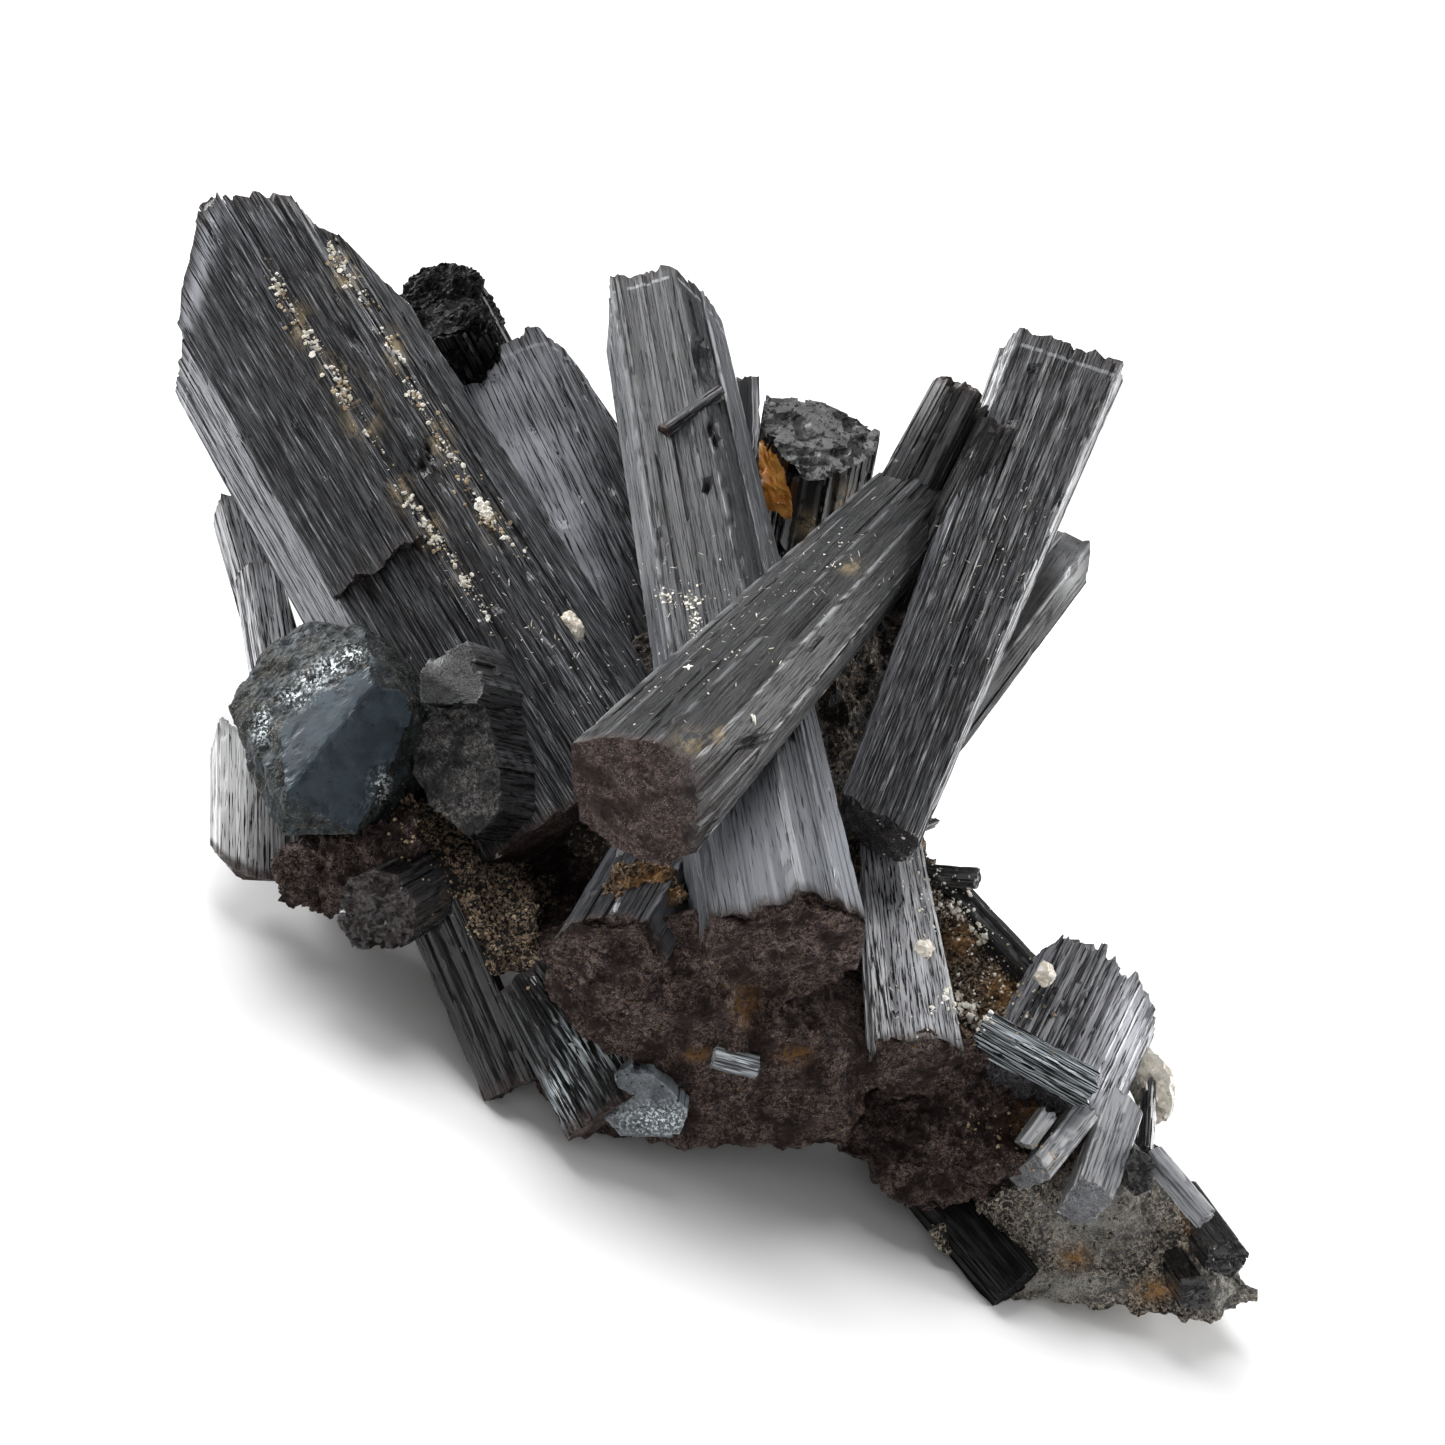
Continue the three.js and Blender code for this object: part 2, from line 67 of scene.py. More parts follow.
IN_METRES = Matrix.Scale(1 / MM, 4)
EYE = 190  # mm, the camera's distance in front of the layout's middle
PICTURE = 1445  # pixels, the side of the square picture
FOCUS = 3040  # pixels, the camera's focal length


def seen_at(points):
    """Picture pixels of layout points in millimetres."""
    away = EYE - points[:, 2]
    return PICTURE / 2 + FOCUS * points[:, 0] / away, PICTURE / 2 - FOCUS * points[:, 1] / away


def stain(points, spots):
    """How strongly each layout point is stained by round or oval spots (x, y, half width, half height)."""
    across, down = seen_at(points)
    mask = np.zeros(len(points))
    for x, y, wide, high in spots:
        mask = np.maximum(mask, np.exp(-(((across - x) / wide) ** 2) - ((down - y) / high) ** 2))
    return mask


def feed(tree, sockets, **values):
    """Gives each socket a value or a link. In a key, _ stands for a space, and i3 is socket number 3."""
    for key, value in values.items():
        socket = sockets[int(key[1:]) if key[0] == "i" and key[1:].isdigit() else key.replace("_", " ")]
        if isinstance(value, bpy.types.NodeSocket):
            tree.links.new(value, socket)
        else:
            socket.default_value = value


def add(tree, kind, settings=None, **sockets):
    """A shader node with its settings, its input values and its incoming links."""
    made = tree.nodes.new("ShaderNode" + kind)
    for key, value in (settings or {}).items():
        setattr(made, key, value)
    feed(tree, made.inputs, **sockets)
    return made


def blend(tree, share, first, second):
    """Colour between two colours."""
    return add(tree, "Mix", {"data_type": "RGBA"}, i0=share, i6=first, i7=second).outputs[2]


def fade(tree, share, first, second):
    """Number between two numbers."""
    return add(tree, "Mix", {"data_type": "FLOAT"}, i0=share, i2=first, i3=second).outputs[0]


def ramp(tree, value, low, high, to_low=0.0, to_high=1.0):
    """Value spread from low..high to to_low..to_high, held at both ends."""
    smooth = {"interpolation_type": "SMOOTHSTEP"}
    return add(tree, "MapRange", smooth, i0=value, i1=low, i2=high, i3=to_low, i4=to_high).outputs[0]


def clouded(tree, where, scale, detail, rough=0.5, twist=0.0):
    """Soft noise between 0 and 1."""
    made = add(tree, "TexNoise", Vector=where, Scale=scale, Detail=detail, Roughness=rough, Distortion=twist)
    return made.outputs["Fac"]


def bumped(tree, height, distance, strength=1.0):
    """The facing of a surface with a fine relief, its depth in metres."""
    return add(tree, "Bump", Strength=strength, Distance=distance, Height=height).outputs[0]


def times(tree, first, second):
    return add(tree, "Math", {"operation": "MULTIPLY"}, i0=first, i1=second).outputs[0]


def most(tree, first, second):
    return add(tree, "Math", {"operation": "MAXIMUM"}, i0=first, i1=second).outputs[0]


def mask_of(tree, name):
    return add(tree, "Attribute", {"attribute_name": name}).outputs["Fac"]


def group(name, inputs, outputs):
    """A node group with named inputs (float or colour) and outputs."""
    tree = bpy.data.node_groups.new(name, "ShaderNodeTree")
    for key, value in inputs.items():
        kind = "NodeSocketFloat" if isinstance(value, (int, float)) else "NodeSocketColor"
        tree.interface.new_socket(key, in_out="INPUT", socket_type=kind).default_value = value
    for key in outputs:
        kind = "NodeSocketColor" if key == "Colour" else "NodeSocketFloat"
        tree.interface.new_socket(key, in_out="OUTPUT", socket_type=kind)
    return tree, tree.nodes.new("NodeGroupInput").outputs, tree.nodes.new("NodeGroupOutput").inputs


def millimetres(tree):
    """Millimetres in the piece's own directions, which its mesh keeps for the material."""
    return add(tree, "Attribute", {"attribute_name": "own"}).outputs["Vector"]


def sized(tree, size):
    """The piece's millimetres, larger or smaller."""
    return add(tree, "VectorMath", {"operation": "SCALE"}, i0=millimetres(tree), Scale=size).outputs[0]


def use(tree, made, **values):
    """A group placed in a material with its own values."""
    placed = tree.nodes.new("ShaderNodeGroup")
    placed.node_tree = made
    feed(tree, placed.inputs, **values)
    return placed.outputs


def bare(name):
    """A new material, its nodes and the sockets of its surface."""
    made = bpy.data.materials.new(name)
    made.use_nodes = True
    return made, made.node_tree, made.node_tree.nodes["Principled BSDF"].inputs


def rgb(*parts):
    return (*parts, 1)


# The look of torn, splintery rock: dark ground, lighter dusty fibres, ochre specks, and pale grey specks
# painted on as glints.
TORN, into, out = group(
    "torn rock",
    {"Dark": rgb(0.01, 0.008, 0.007), "Dusty": rgb(0.06, 0.045, 0.04), "Ochre": rgb(0.3, 0.17, 0.06),
     "Size": 1.0, "Specks": 0.5},
    ["Colour", "Rough", "Height"],
)
where = sized(TORN, into["Size"])
clouds = clouded(TORN, where, 0.55, 3.0, 0.6)
fibres = clouded(TORN, where, 3.2, 5.0, 0.75, 1.1)
specks = clouded(TORN, where, 4.6, 3.0, 0.65)
sparks = add(TORN, "TexVoronoi", Vector=where, Scale=5.5).outputs["Distance"]
dusty = times(TORN, ramp(TORN, fibres, 0.4, 0.72), ramp(TORN, clouds, 0.34, 0.6, 0.12, 1.0))
ground = blend(TORN, dusty, into["Dark"], into["Dusty"])
amount = fade(TORN, into["Specks"], 0.74, 0.52)
ochre = times(TORN, ramp(TORN, specks, amount, 0.78), ramp(TORN, clouds, 0.42, 0.6))
speckled = blend(TORN, ochre, ground, into["Ochre"])
# Painted glints: small pale grey specks on the torn rock.
painted_glitter = times(TORN, ramp(TORN, sparks, 0.2, 0.08), ramp(TORN, clouds, 0.38, 0.54))
feed(TORN, out, Colour=blend(TORN, painted_glitter, speckled, rgb(0.45, 0.43, 0.42)),
     Rough=ramp(TORN, fibres, 0.3, 0.7, 0.55, 0.95), Height=fibres)

torn_rock, tree, surface = bare("torn_brown_rock")
torn = use(tree, TORN, Dark=rgb(0.022, 0.013, 0.012), Dusty=rgb(0.34, 0.26, 0.24), Specks=0.9, Size=1.0)
patches = clouded(tree, millimetres(tree), 1.8, 4.0, 0.7)
rusty = times(tree, mask_of(tree, "rust"), ramp(tree, patches, 0.38, 0.56))
feed(tree, surface, Base_Color=blend(tree, rusty, torn["Colour"], rgb(0.24, 0.12, 0.035)),
     Roughness=torn["Rough"], Normal=bumped(tree, torn["Height"], 0.0004), Specular_IOR_Level=0.14)


def keep(name, mesh, place, material, node="schorl_cluster"):
    """A finished mesh becomes a piece of the cluster, moved to its place and flat on the floor."""
    spots = np.empty(len(mesh.vertices) * 3)
    mesh.vertices.foreach_get("co", spots)
    mesh.attributes.new("own", "FLOAT_VECTOR", "POINT").data.foreach_set("vector", spots / MM)
    turn = np.array(place)
    spots = spots.reshape(-1, 3) @ turn[:3, :3].T + turn[:3, 3]
    spots[:, 2] = np.maximum(spots[:, 2], 0)
    mesh.vertices.foreach_set("co", spots.ravel())
    mesh.update()
    mesh.name = name
    mesh.materials.append(material)
    made = bpy.data.objects.new(name, mesh)
    bpy.context.scene.collection.objects.link(made)
    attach(made, "root")
    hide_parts(node)
    return made


def paint(mesh, **masks):
    for name, values in masks.items():
        mesh.attributes.new(name, "FLOAT", "POINT").data.foreach_set("value", np.asarray(values, np.float32))


def axes_of(near, far, end_on=False):
    """Directions of a crystal: toward the camera (or up), across, and along, as a matrix, with its length."""
    start = Vector(near)
    along = Vector(far) - start
    length = along.length
    along.normalize()
    reference = Vector((0, 1, 0)) if end_on else Vector((0, 0, 1))
    toward = (reference - along * reference.dot(along)).normalized()
    across = along.cross(toward)
    return Matrix.Translation(start) @ Matrix((toward, across, along)).transposed().to_4x4(), length


def stub(near, far, section, size=0.98, reach=(-0.6, 1.0), end_on=False, **rest):
    """Corner points of the first millimetres of a crystal, where its broken end is part of the root."""
    axes, _ = axes_of(near, far, end_on)
    return [axes @ Vector((c[1] * size, c[0] * size, h)) for c in section for h in reach]


def uneven(points, size, seed, octaves=3):
    """Repeatable unevenness between about -1 and 1 at points in millimetres."""
    shift = Vector((seed * 7.3, seed * 3.1, seed * 5.7))
    return np.array([noise.fractal(Vector(point) / size + shift, 0.9, 2.1, octaves) for point in points])


def grown(hulls, cell):
    """One closed mesh grown from overlapping convex blocks, with its points and their facing."""
    form = bmesh.new()
    for points in hulls:
        corners = [form.verts.new(Vector(point) * MM) for point in points]
        made = bmesh.ops.convex_hull(form, input=corners)
        spare = {v for v in made["geom_interior"] + made["geom_unused"] if isinstance(v, bmesh.types.BMVert)}
        bmesh.ops.delete(form, geom=list(spare), context="VERTS")
    form.normal_update()
    planes = np.array([[*f.normal, f.normal.dot(f.verts[0].co) / MM] for f in form.faces])
    blank = bpy.data.objects.new("blank", bpy.data.meshes.new("blank"))
    form.to_mesh(blank.data)
    form.free()
    bpy.context.scene.collection.objects.link(blank)
    joined = blank.modifiers.new("join", "REMESH")
    joined.mode = "VOXEL"
    joined.voxel_size = cell * MM
    mesh = bpy.data.meshes.new_from_object(blank.evaluated_get(bpy.context.evaluated_depsgraph_get()))
    bpy.data.objects.remove(blank)
    count = len(mesh.vertices)
    spots = np.empty(count * 3)
    facing = np.empty(count * 3)
    mesh.vertices.foreach_get("co", spots)
    mesh.vertices.foreach_get("normal", facing)
    return mesh, spots.reshape(-1, 3) / MM, facing.reshape(-1, 3), planes


def rock(name, hulls, material, cell=0.3, layers=((2.5, 0.5), (0.7, 0.18)), rust=(), worn=(), place=STAND,
         bias=0.35):
    """Angular blocks grown into one lump, then roughened by layers of (size, height) in millimetres."""
    mesh, spots, facing, _ = grown(hulls, cell)
    seed = sum(name.encode()) % 97
    lift = np.zeros(len(spots))
    for number, (size, height) in enumerate(layers):
        lift += height * (uneven(spots, size, seed + number) - bias)
    spots = spots + facing * lift[:, None]
    mesh.vertices.foreach_set("co", (spots * MM).ravel())
    paint(mesh, rust=stain(spots, rust), worn=stain(spots, worn))
    mesh.update()
    return keep(name, mesh, place @ IN_METRES, material)


FRONT_CROSSING = dict(near=(3.7, -13.4, 11), far=(-4.5, 29.7, -20.8), narrow=0.79, section=[(-5.3, 0.6, 5),
    (-3.9, 4.2, 0.6), (1.8, 4.8, 0.6), (3.8, 3.6, 3), (5.1, 1.2, 4.2), (4.6, -2.8, 3), (1.5, -5.2),
    (-3, -4.9), (-5.1, -2.2, 3)])
FRONT_LOW_LEFT = dict(near=(-6.7, -14, 12), far=(-1.4, -5, -6), section=[(-3.5, -1.3), (-3.1, 0.9),
    (-1.5, 2.2), (0.8, 3.7), (3, 2), (3.2, -1.5), (0.5, -3.8), (-1.7, -3.3), (-3.1, -2.4)])
FRONT_LOW_RIGHT = dict(near=(11.9, -21.1, 4), far=(10.3, -4.4, -8), narrow=0.62, section=[(-3.1, 0.3),
    (-2.5, 2.4), (0.6, 3.2), (2.9, 1.6), (3.2, -0.6), (1.2, -3.2), (-2.4, -3)])
ROOT_FRONT = [
    [(-12.2, -22.7, 1), (-8.7, -25.5, 3), (-2, -26.1, 5), (7.8, -26.4, 4), (-8.4, -17, 9.4), (-1.3, -20.1, 9),
     (6.7, -18.6, 8.6), (-10.6, -14.4, 8), (10, -20, 2), (-14, -12, -14), (10, -14, -14), (0, -6, -14)],
    [(-5.6, -11.2, 11.8), (-1.4, -10.9, 11.6), (0.6, -13, 11.4), (-5.2, -17, 11.2), (0.8, -17.6, 10.6),
     (2.2, -19.6, 8), (-6, -19, 8), (-2, -14, 0), (-4, -10.8, 4), (-1.5, -10.6, 5)],
]
rock("root_front", ROOT_FRONT + [stub(**FRONT_CROSSING), stub(**FRONT_LOW_LEFT), stub(**FRONT_LOW_RIGHT)],
    torn_rock, cell=0.26, layers=((3.2, 0.5), (1.1, 0.32), (0.42, 0.14)), rust=((745, 1005, 12, 18),
    (700, 1055, 16, 6), (795, 1055, 16, 8), (640, 893, 40, 12), (870, 1125, 10, 18)))

# The granular rock between the crystals.
# What is left of the rock that the crystals grew in: grains of tan, ochre and black, weathered and loose,
# in one patch left of the root, one crust under the stubby crystal and the lobe that runs out to the right.
GRAINY, into, out = group(
    "grainy rock",
    {"Tan": rgb(0.2, 0.14, 0.09), "Black": rgb(0.008, 0.008, 0.008), "Share": 0.5, "Size": 1.0},
    ["Colour", "Rough", "Height"],
)
where = sized(GRAINY, into["Size"])
shaken = add(GRAINY, "TexNoise", Vector=where, Scale=1.6, Detail=3.0).outputs["Color"]
moved = add(GRAINY, "VectorMath", {"operation": "MULTIPLY_ADD"}, i0=shaken, i1=(0.7, 0.7, 0.7), i2=where)
cells = add(GRAINY, "TexVoronoi", Vector=moved.outputs[0], Scale=2.6).outputs
tone = add(GRAINY, "SeparateColor", Color=cells["Color"]).outputs
patches = clouded(GRAINY, where, 0.5, 4.0, 0.65)
fine = clouded(GRAINY, where, 6.0, 4.0, 0.7)
tan = ramp(GRAINY, fade(GRAINY, 0.5, tone[0], patches), fade(GRAINY, into["Share"], 0.75, 0.3),
           fade(GRAINY, into["Share"], 0.85, 0.55))
dark = blend(GRAINY, ramp(GRAINY, fine, 0.4, 0.7), into["Black"], rgb(0.05, 0.042, 0.038))
light = blend(GRAINY, ramp(GRAINY, tone[1], 0.3, 0.9), into["Tan"], rgb(0.42, 0.35, 0.27))
rubbed = blend(GRAINY, ramp(GRAINY, fine, 0.35, 0.65), light, rgb(0.1, 0.065, 0.04))
feed(GRAINY, out, Colour=blend(GRAINY, tan, dark, rubbed), Rough=ramp(GRAINY, tone[2], 0.0, 1.0, 0.45, 0.95),
     Height=fade(GRAINY, 0.4, ramp(GRAINY, cells["Distance"], 0.0, 0.5, 1.0, 0.0), fine))


def grainy_rock(name, tan, share, size):
    """Grains of tan and black rock, with rust and pale rubbed places where the mesh has them."""
    made, tree, surface = bare(name)
    grains = use(tree, GRAINY, Tan=tan, Share=share, Size=size)
    rubbed = clouded(tree, millimetres(tree), 1.5, 3.0)
    rusty = times(tree, mask_of(tree, "rust"), ramp(tree, rubbed, 0.3, 0.6))
    worn = times(tree, mask_of(tree, "worn"), ramp(tree, rubbed, 0.3, 0.46))
    tone = blend(tree, times(tree, worn, 0.85), grains["Colour"], rgb(0.42, 0.41, 0.385))
    feed(tree, surface, Base_Color=blend(tree, rusty, tone, rgb(0.5, 0.27, 0.1)), Roughness=grains["Rough"],
         Normal=bumped(tree, grains["Height"], 0.0003), Specular_IOR_Level=0.25)
    return made


tan_rock = grainy_rock("tan_grainy_rock", rgb(0.6, 0.43, 0.29), 0.7, 2.4)
brown_crust = grainy_rock("brown_crust", rgb(0.09, 0.055, 0.035), 0.45, 2.0)
grey_rock = grainy_rock("grey_grainy_rock", rgb(0.85, 0.78, 0.64), 0.76, 2.4)

rock("rock_between_left_and_root", [[(-20, -4.1, 3), (-15.9, -7.6, 2), (-11.6, -12.4, 3), (-11.2, -15.4, 5),
    (-15.1, -15.8, 5), (-18.2, -12, 3), (-20, -10, -9), (-13, -4, -12), (-10, -14, -10)]], tan_rock,
    cell=0.24, layers=((2.0, 0.9), (0.7, 0.4), (0.3, 0.16)))
rock("crust_under_stubby_crystal", [[(-28.4, -8.4, 2), (-27, -11.4, 1), (-24.2, -12.6, 3),
    (-21.6, -6.8, 6.4), (-18.6, -8.6, 6), (-18.4, -5.4, 7), (-27, -10, -7), (-18, -9, -8), (-22, -4, -8)]],
    torn_rock, cell=0.22, layers=((1.8, 1.1), (0.6, 0.4)), bias=0.2)
rock("ochre_pocket", [[(-7.4, -10.4, 9.8), (-6.6, -8.4, 9.2), (-3, -8.2, 8.6), (-2, -9.8, 9.8),
    (-2.4, -11, 10.6), (-6.2, -11.2, 10.8), (-5, -9, 2), (-3, -9.5, 2)]], tan_rock, cell=0.16,
    layers=((0.9, 0.5), (0.4, 0.3)), rust=((652, 888, 30, 24),))
rock("rock_beside_low_right", [[(11.6, -6.6, -6), (13, -7.2, -7), (15, -10.8, -6.5), (17.7, -13.6, -6.5),
    (19.6, -15.6, -6), (20.3, -20.5, -4), (15.3, -22, -2), (13, -16, -3.4), (11, -9, -5), (12, -9, -14),
    (20, -18, -14)]], tan_rock, cell=0.22, layers=((2.0, 1.0), (0.7, 0.5), (0.3, 0.2)),
    rust=((1010, 990, 22, 18), (960, 940, 14, 14)))
rock("lobe_upper", [[(5.5, -24.5, 2), (7.4, -27, 2.6), (9.7, -28.6, 1.4), (12.5, -31.4, 1.2), (13, -19, -3),
    (20.6, -16.4, -7), (18, -28, 3.4), (10, -20, -14), (24, -26.5, 0), (22, -24, -12)]], torn_rock,
    cell=0.24, layers=((2.6, 0.9), (0.9, 0.5), (0.35, 0.2)), rust=((1040, 1120, 26, 20),))
rock("lobe_lower", [[(12.5, -31.9, 1.4), (17.3, -36.2, 0.4), (25.5, -36.7, 0), (31.1, -38.2, -2),
    (34.4, -37, -4), (33.3, -34, -4), (30.3, -30.3, -2.6), (27.1, -26.2, -3), (19, -28, 1.5),
    (12, -26, -14), (30, -32, -12), (24, -26, -12)]], grey_rock, cell=0.24, layers=((2.6, 0.8), (0.9, 0.32),
    (0.35, 0.12)), rust=((1075, 1258, 12, 12), (1195, 1215, 8, 30), (1155, 1290, 20, 10)),
    worn=((1095, 1215, 60, 45), (1130, 1175, 40, 30), (1060, 1285, 70, 16), (1215, 1290, 36, 24),
    (1240, 1250, 16, 30)))
rock("core", [[(-9, 4, -12), (-2, 8, -14), (8, 6, -14), (14, 2, -14), (12, -12, -4), (-10, -8, -2),
    (-12, -4, -16), (10, -6, -20), (0, 0, -2), (0, -14, 4), (13, 8.4, -14)]], brown_crust, cell=0.4,
    layers=((2.0, 0.6), (0.8, 0.3)))
rock("root_back", [[(-21, 4, -22.6), (-20, 13, -22.6), (-7, 20, -22.6), (11, 19, -22.6), (24, 12, -22.6),
    (27, 5, -22.6), (18, 1, -22.6), (-10, 1, -22.6), (-17, 10, -15), (-6, 17, -13), (10, 15, -13),
    (20, 9, -15), (-6, 6, -4), (6, 8, -4)]], torn_rock, cell=0.42, layers=((4.0, 0.7), (1.4, 0.45),
    (0.6, 0.2)), place=UPRIGHT)

# The great left crystal.
# Parallel slabs of schorl side by side, each face ribbed lengthwise by growth, the far ends torn to short
# columns. The front slab keeps a thicker sheet above an old break, and its upper left corner is bevelled.
RIBBED, into, out = group("ribs", {"Fine": 4.0, "Stretch": 50.0, "Dash": 9.0},
                          ["Lines", "Hairs", "Wide", "Breaks"])
own = millimetres(RIBBED)


def drawn_out(tree, own, fine, stretch):
    """The piece's coordinates made fine across and long along it."""
    slim = add(tree, "Math", {"operation": "DIVIDE"}, i0=fine, i1=stretch).outputs[0]
    pull = add(tree, "CombineXYZ", X=fine, Y=fine, Z=slim).outputs[0]
    return add(tree, "VectorMath", {"operation": "MULTIPLY"}, i0=own, i1=pull).outputs[0]


long = drawn_out(RIBBED, own, into["Fine"], into["Stretch"])
short = drawn_out(RIBBED, own, into["Fine"], into["Dash"])
feed(RIBBED, out, Lines=clouded(RIBBED, long, 1.0, 3.0, 0.7), Hairs=clouded(RIBBED, short, 1.3, 2.0, 0.65),
     Wide=clouded(RIBBED, long, 0.22, 2.0), Breaks=clouded(RIBBED, own, 0.5, 6.0, 0.72, 0.6))

DUSTY, into, out = group("dust", {"Amount": 0.5}, ["Flecks", "Film"])
own = millimetres(DUSTY)
patchy = clouded(DUSTY, own, 0.35, 3.0, 0.6)
flecks = ramp(DUSTY, clouded(DUSTY, own, 5.5, 2.0, 0.55, 2.0), fade(DUSTY, into["Amount"], 0.8, 0.62), 0.84)
feed(DUSTY, out, Flecks=times(DUSTY, flecks, ramp(DUSTY, patchy, 0.35, 0.6)),
     Film=times(DUSTY, ramp(DUSTY, patchy, 0.3, 0.75), into["Amount"]))
GROWTH_LINE = 1.7  # mm, from the torn far end


def schorl(name, face, gloss=0.25, grooves=0.5, fine=3.6, dust=0.4, groove_shade=rgb(0.001, 0.001, 0.0012),
           shine=0.55, sparkle=0.6, dash=12.0, depth=0.22, specular=0.12,
           torn=(rgb(0.026, 0.016, 0.014), rgb(0.23, 0.17, 0.155))):
    """Black tourmaline: satin faces scored by fine grooves whose near-black colour is painted shade, bright
    hairlines that are painted highlights, painted sheen that makes faces paler where the mesh carries it,
    dull brown broken ends, a pale growth line, tan dirt, dust, sunk pits painted black as their shade, and
    silvery breaks that are metallic with a painted glint."""
    made, tree, surface = bare(name)
    ribs = use(tree, RIBBED, Fine=fine, Dash=dash)
    dusty = use(tree, DUSTY, Amount=dust)
    torn = use(tree, TORN, Dark=torn[0], Dusty=torn[1], Specks=0.5, Size=1.1)
    # Painted sheen: a painted reflection that makes sideways faces, ridges and given spots paler, glossier
    # and less grooved.
    frost = mask_of(tree, "frost")
    # Silver glints: metallic patches whose pale colour is partly a painted glint.
    silver = times(tree, mask_of(tree, "silver"), ramp(tree, ribs["Hairs"], 0.5, 0.6))
    dirt = times(tree, mask_of(tree, "dirt"), ramp(tree, ribs["Breaks"], 0.44, 0.54))
    dim = rgb(*(0.6 * c for c in face[:3]))
    # pale is the colour of the painted sheen, bright the colour of the painted hairline highlights.
    pale = rgb(*(min(0.72, 5.4 * c + 0.06) for c in face[:3]))
    bright = rgb(*(min(0.75, 3.6 * c + 0.1) for c in face[:3]))
    tone = blend(tree, ramp(tree, ribs["Wide"], 0.35, 0.62), dim, face)
    tone = blend(tree, frost, tone, pale)
    middle = 0.44 + 0.1 * grooves
    low = fade(tree, frost, middle - 0.05, middle - 0.08)
    high = fade(tree, frost, middle + 0.03, middle - 0.01)
    score = ramp(tree, fade(tree, 0.5, ribs["Lines"], ribs["Hairs"]), low, high)
    # The grooves are real relief; their near-black colour is painted shade.
    tone = blend(tree, score, groove_shade, tone)
    # Painted highlights: bright hairlines along the ribs stand for glints.
    painted_hairline_glint = ramp(tree, ribs["Hairs"], 0.5, 0.58, 0.0, sparkle)
    tone = blend(tree, times(tree, ramp(tree, ribs["Lines"], 0.56, 0.63), painted_hairline_glint), tone, bright)
    off = add(tree, "Math", {"operation": "SUBTRACT"}, i0=mask_of(tree, "tip"), i1=GROWTH_LINE).outputs[0]
    off = add(tree, "Math", {"operation": "ABSOLUTE"}, i0=fade(tree, 0.85, ribs["Breaks"], off)).outputs[0]
    growth = times(tree, ramp(tree, off, 0.16, 0.07), ramp(tree, ribs["Wide"], 0.42, 0.5, 0.0, 0.5))
    edge = times(tree, mask_of(tree, "broken"), ramp(tree, ribs["Breaks"], 0.25, 0.4))
    # Pits: sunk in the mesh, painted almost black and without coat as their shade.
    hole = ramp(tree, mask_of(tree, "hole"), 0.25, 0.6)
    for share, colour in (
        (growth, rgb(0.5, 0.51, 0.54)), (times(tree, dusty["Film"], 0.25), rgb(0.11, 0.105, 0.1)),
        (dusty["Flecks"], rgb(0.6, 0.57, 0.52)), (dirt, rgb(0.36, 0.28, 0.17)), (edge, torn["Colour"]),
        (hole, rgb(0.002, 0.002, 0.002)), (silver, rgb(0.7, 0.77, 0.8)),
    ):
        tone = blend(tree, share, tone, colour)
    dull = most(tree, most(tree, dusty["Flecks"], dirt), times(tree, dusty["Film"], 0.4))
    rough = fade(tree, dull, ramp(tree, score, 0.0, 1.0, 0.6, gloss + 0.1), 0.8)
    rough = fade(tree, silver, fade(tree, edge, rough, torn["Rough"]), 0.45)
    coat = times(tree, score, fade(tree, frost, shine, 1.0))
    coat = fade(tree, most(tree, hole, most(tree, dull, edge)), coat, 0.0)
    scored = fade(tree, 0.1, fade(tree, 0.5, ribs["Lines"], score), ribs["Breaks"])
    height = fade(tree, edge, scored, torn["Height"])
    relief = bumped(tree, height, depth * MM, 0.9)
    feed(tree, surface, Base_Color=tone, Roughness=rough, Metallic=times(tree, silver, 0.5), Coat_Weight=coat,
         Coat_Roughness=gloss, Specular_IOR_Level=specular, IOR=1.64, Normal=relief)
    return made


schorl_deep = schorl("schorl_deep", rgb(0.068, 0.07, 0.078), gloss=0.2, grooves=0.45, fine=8.0, dash=24.0,
    dust=0.55, groove_shade=rgb(0.002, 0.002, 0.0025), sparkle=0.9)
schorl_dark = schorl("schorl_dark", rgb(0.044, 0.045, 0.047), gloss=0.26, grooves=0.1, fine=10.0, dash=24.0,
    shine=0.12, sparkle=0.2, groove_shade=rgb(0.014, 0.014, 0.015))
schorl_grey = schorl("schorl_grey", rgb(0.036, 0.038, 0.043), gloss=0.25, grooves=0.0, fine=9.0, dash=24.0,
    shine=0.25, sparkle=0.25, groove_shade=rgb(0.012, 0.012, 0.013))
schorl_fragment = schorl("schorl_fragment", rgb(0.11, 0.112, 0.123), gloss=0.3, grooves=0.3, fine=7.0,
    dash=16.0, sparkle=0.4, groove_shade=rgb(0.01, 0.01, 0.012))
# A pale schorl for faces that catch the light: its paleness is partly painted sheen.
schorl_silvery = schorl("schorl_silvery", rgb(0.42, 0.424, 0.45), gloss=0.3, grooves=0.3, fine=6.0,
    dust=0.3, dash=16.0, shine=0.9)
schorl_pale = schorl("schorl_pale", rgb(0.27, 0.28, 0.3), gloss=0.25, grooves=0.1, fine=8.0, dust=0.3,
    dash=24.0, shine=0.5, sparkle=0.3, groove_shade=rgb(0.09, 0.09, 0.1))
schorl_lined = schorl("schorl_lined", rgb(0.55, 0.61, 0.65), gloss=0.14, grooves=0.8, fine=6.0, dust=0.2,
    dash=30.0, shine=0.9)
schorl_black = schorl("schorl_black", rgb(0.006, 0.006, 0.007), gloss=0.1, grooves=0.1, dust=0.2, shine=0.7)
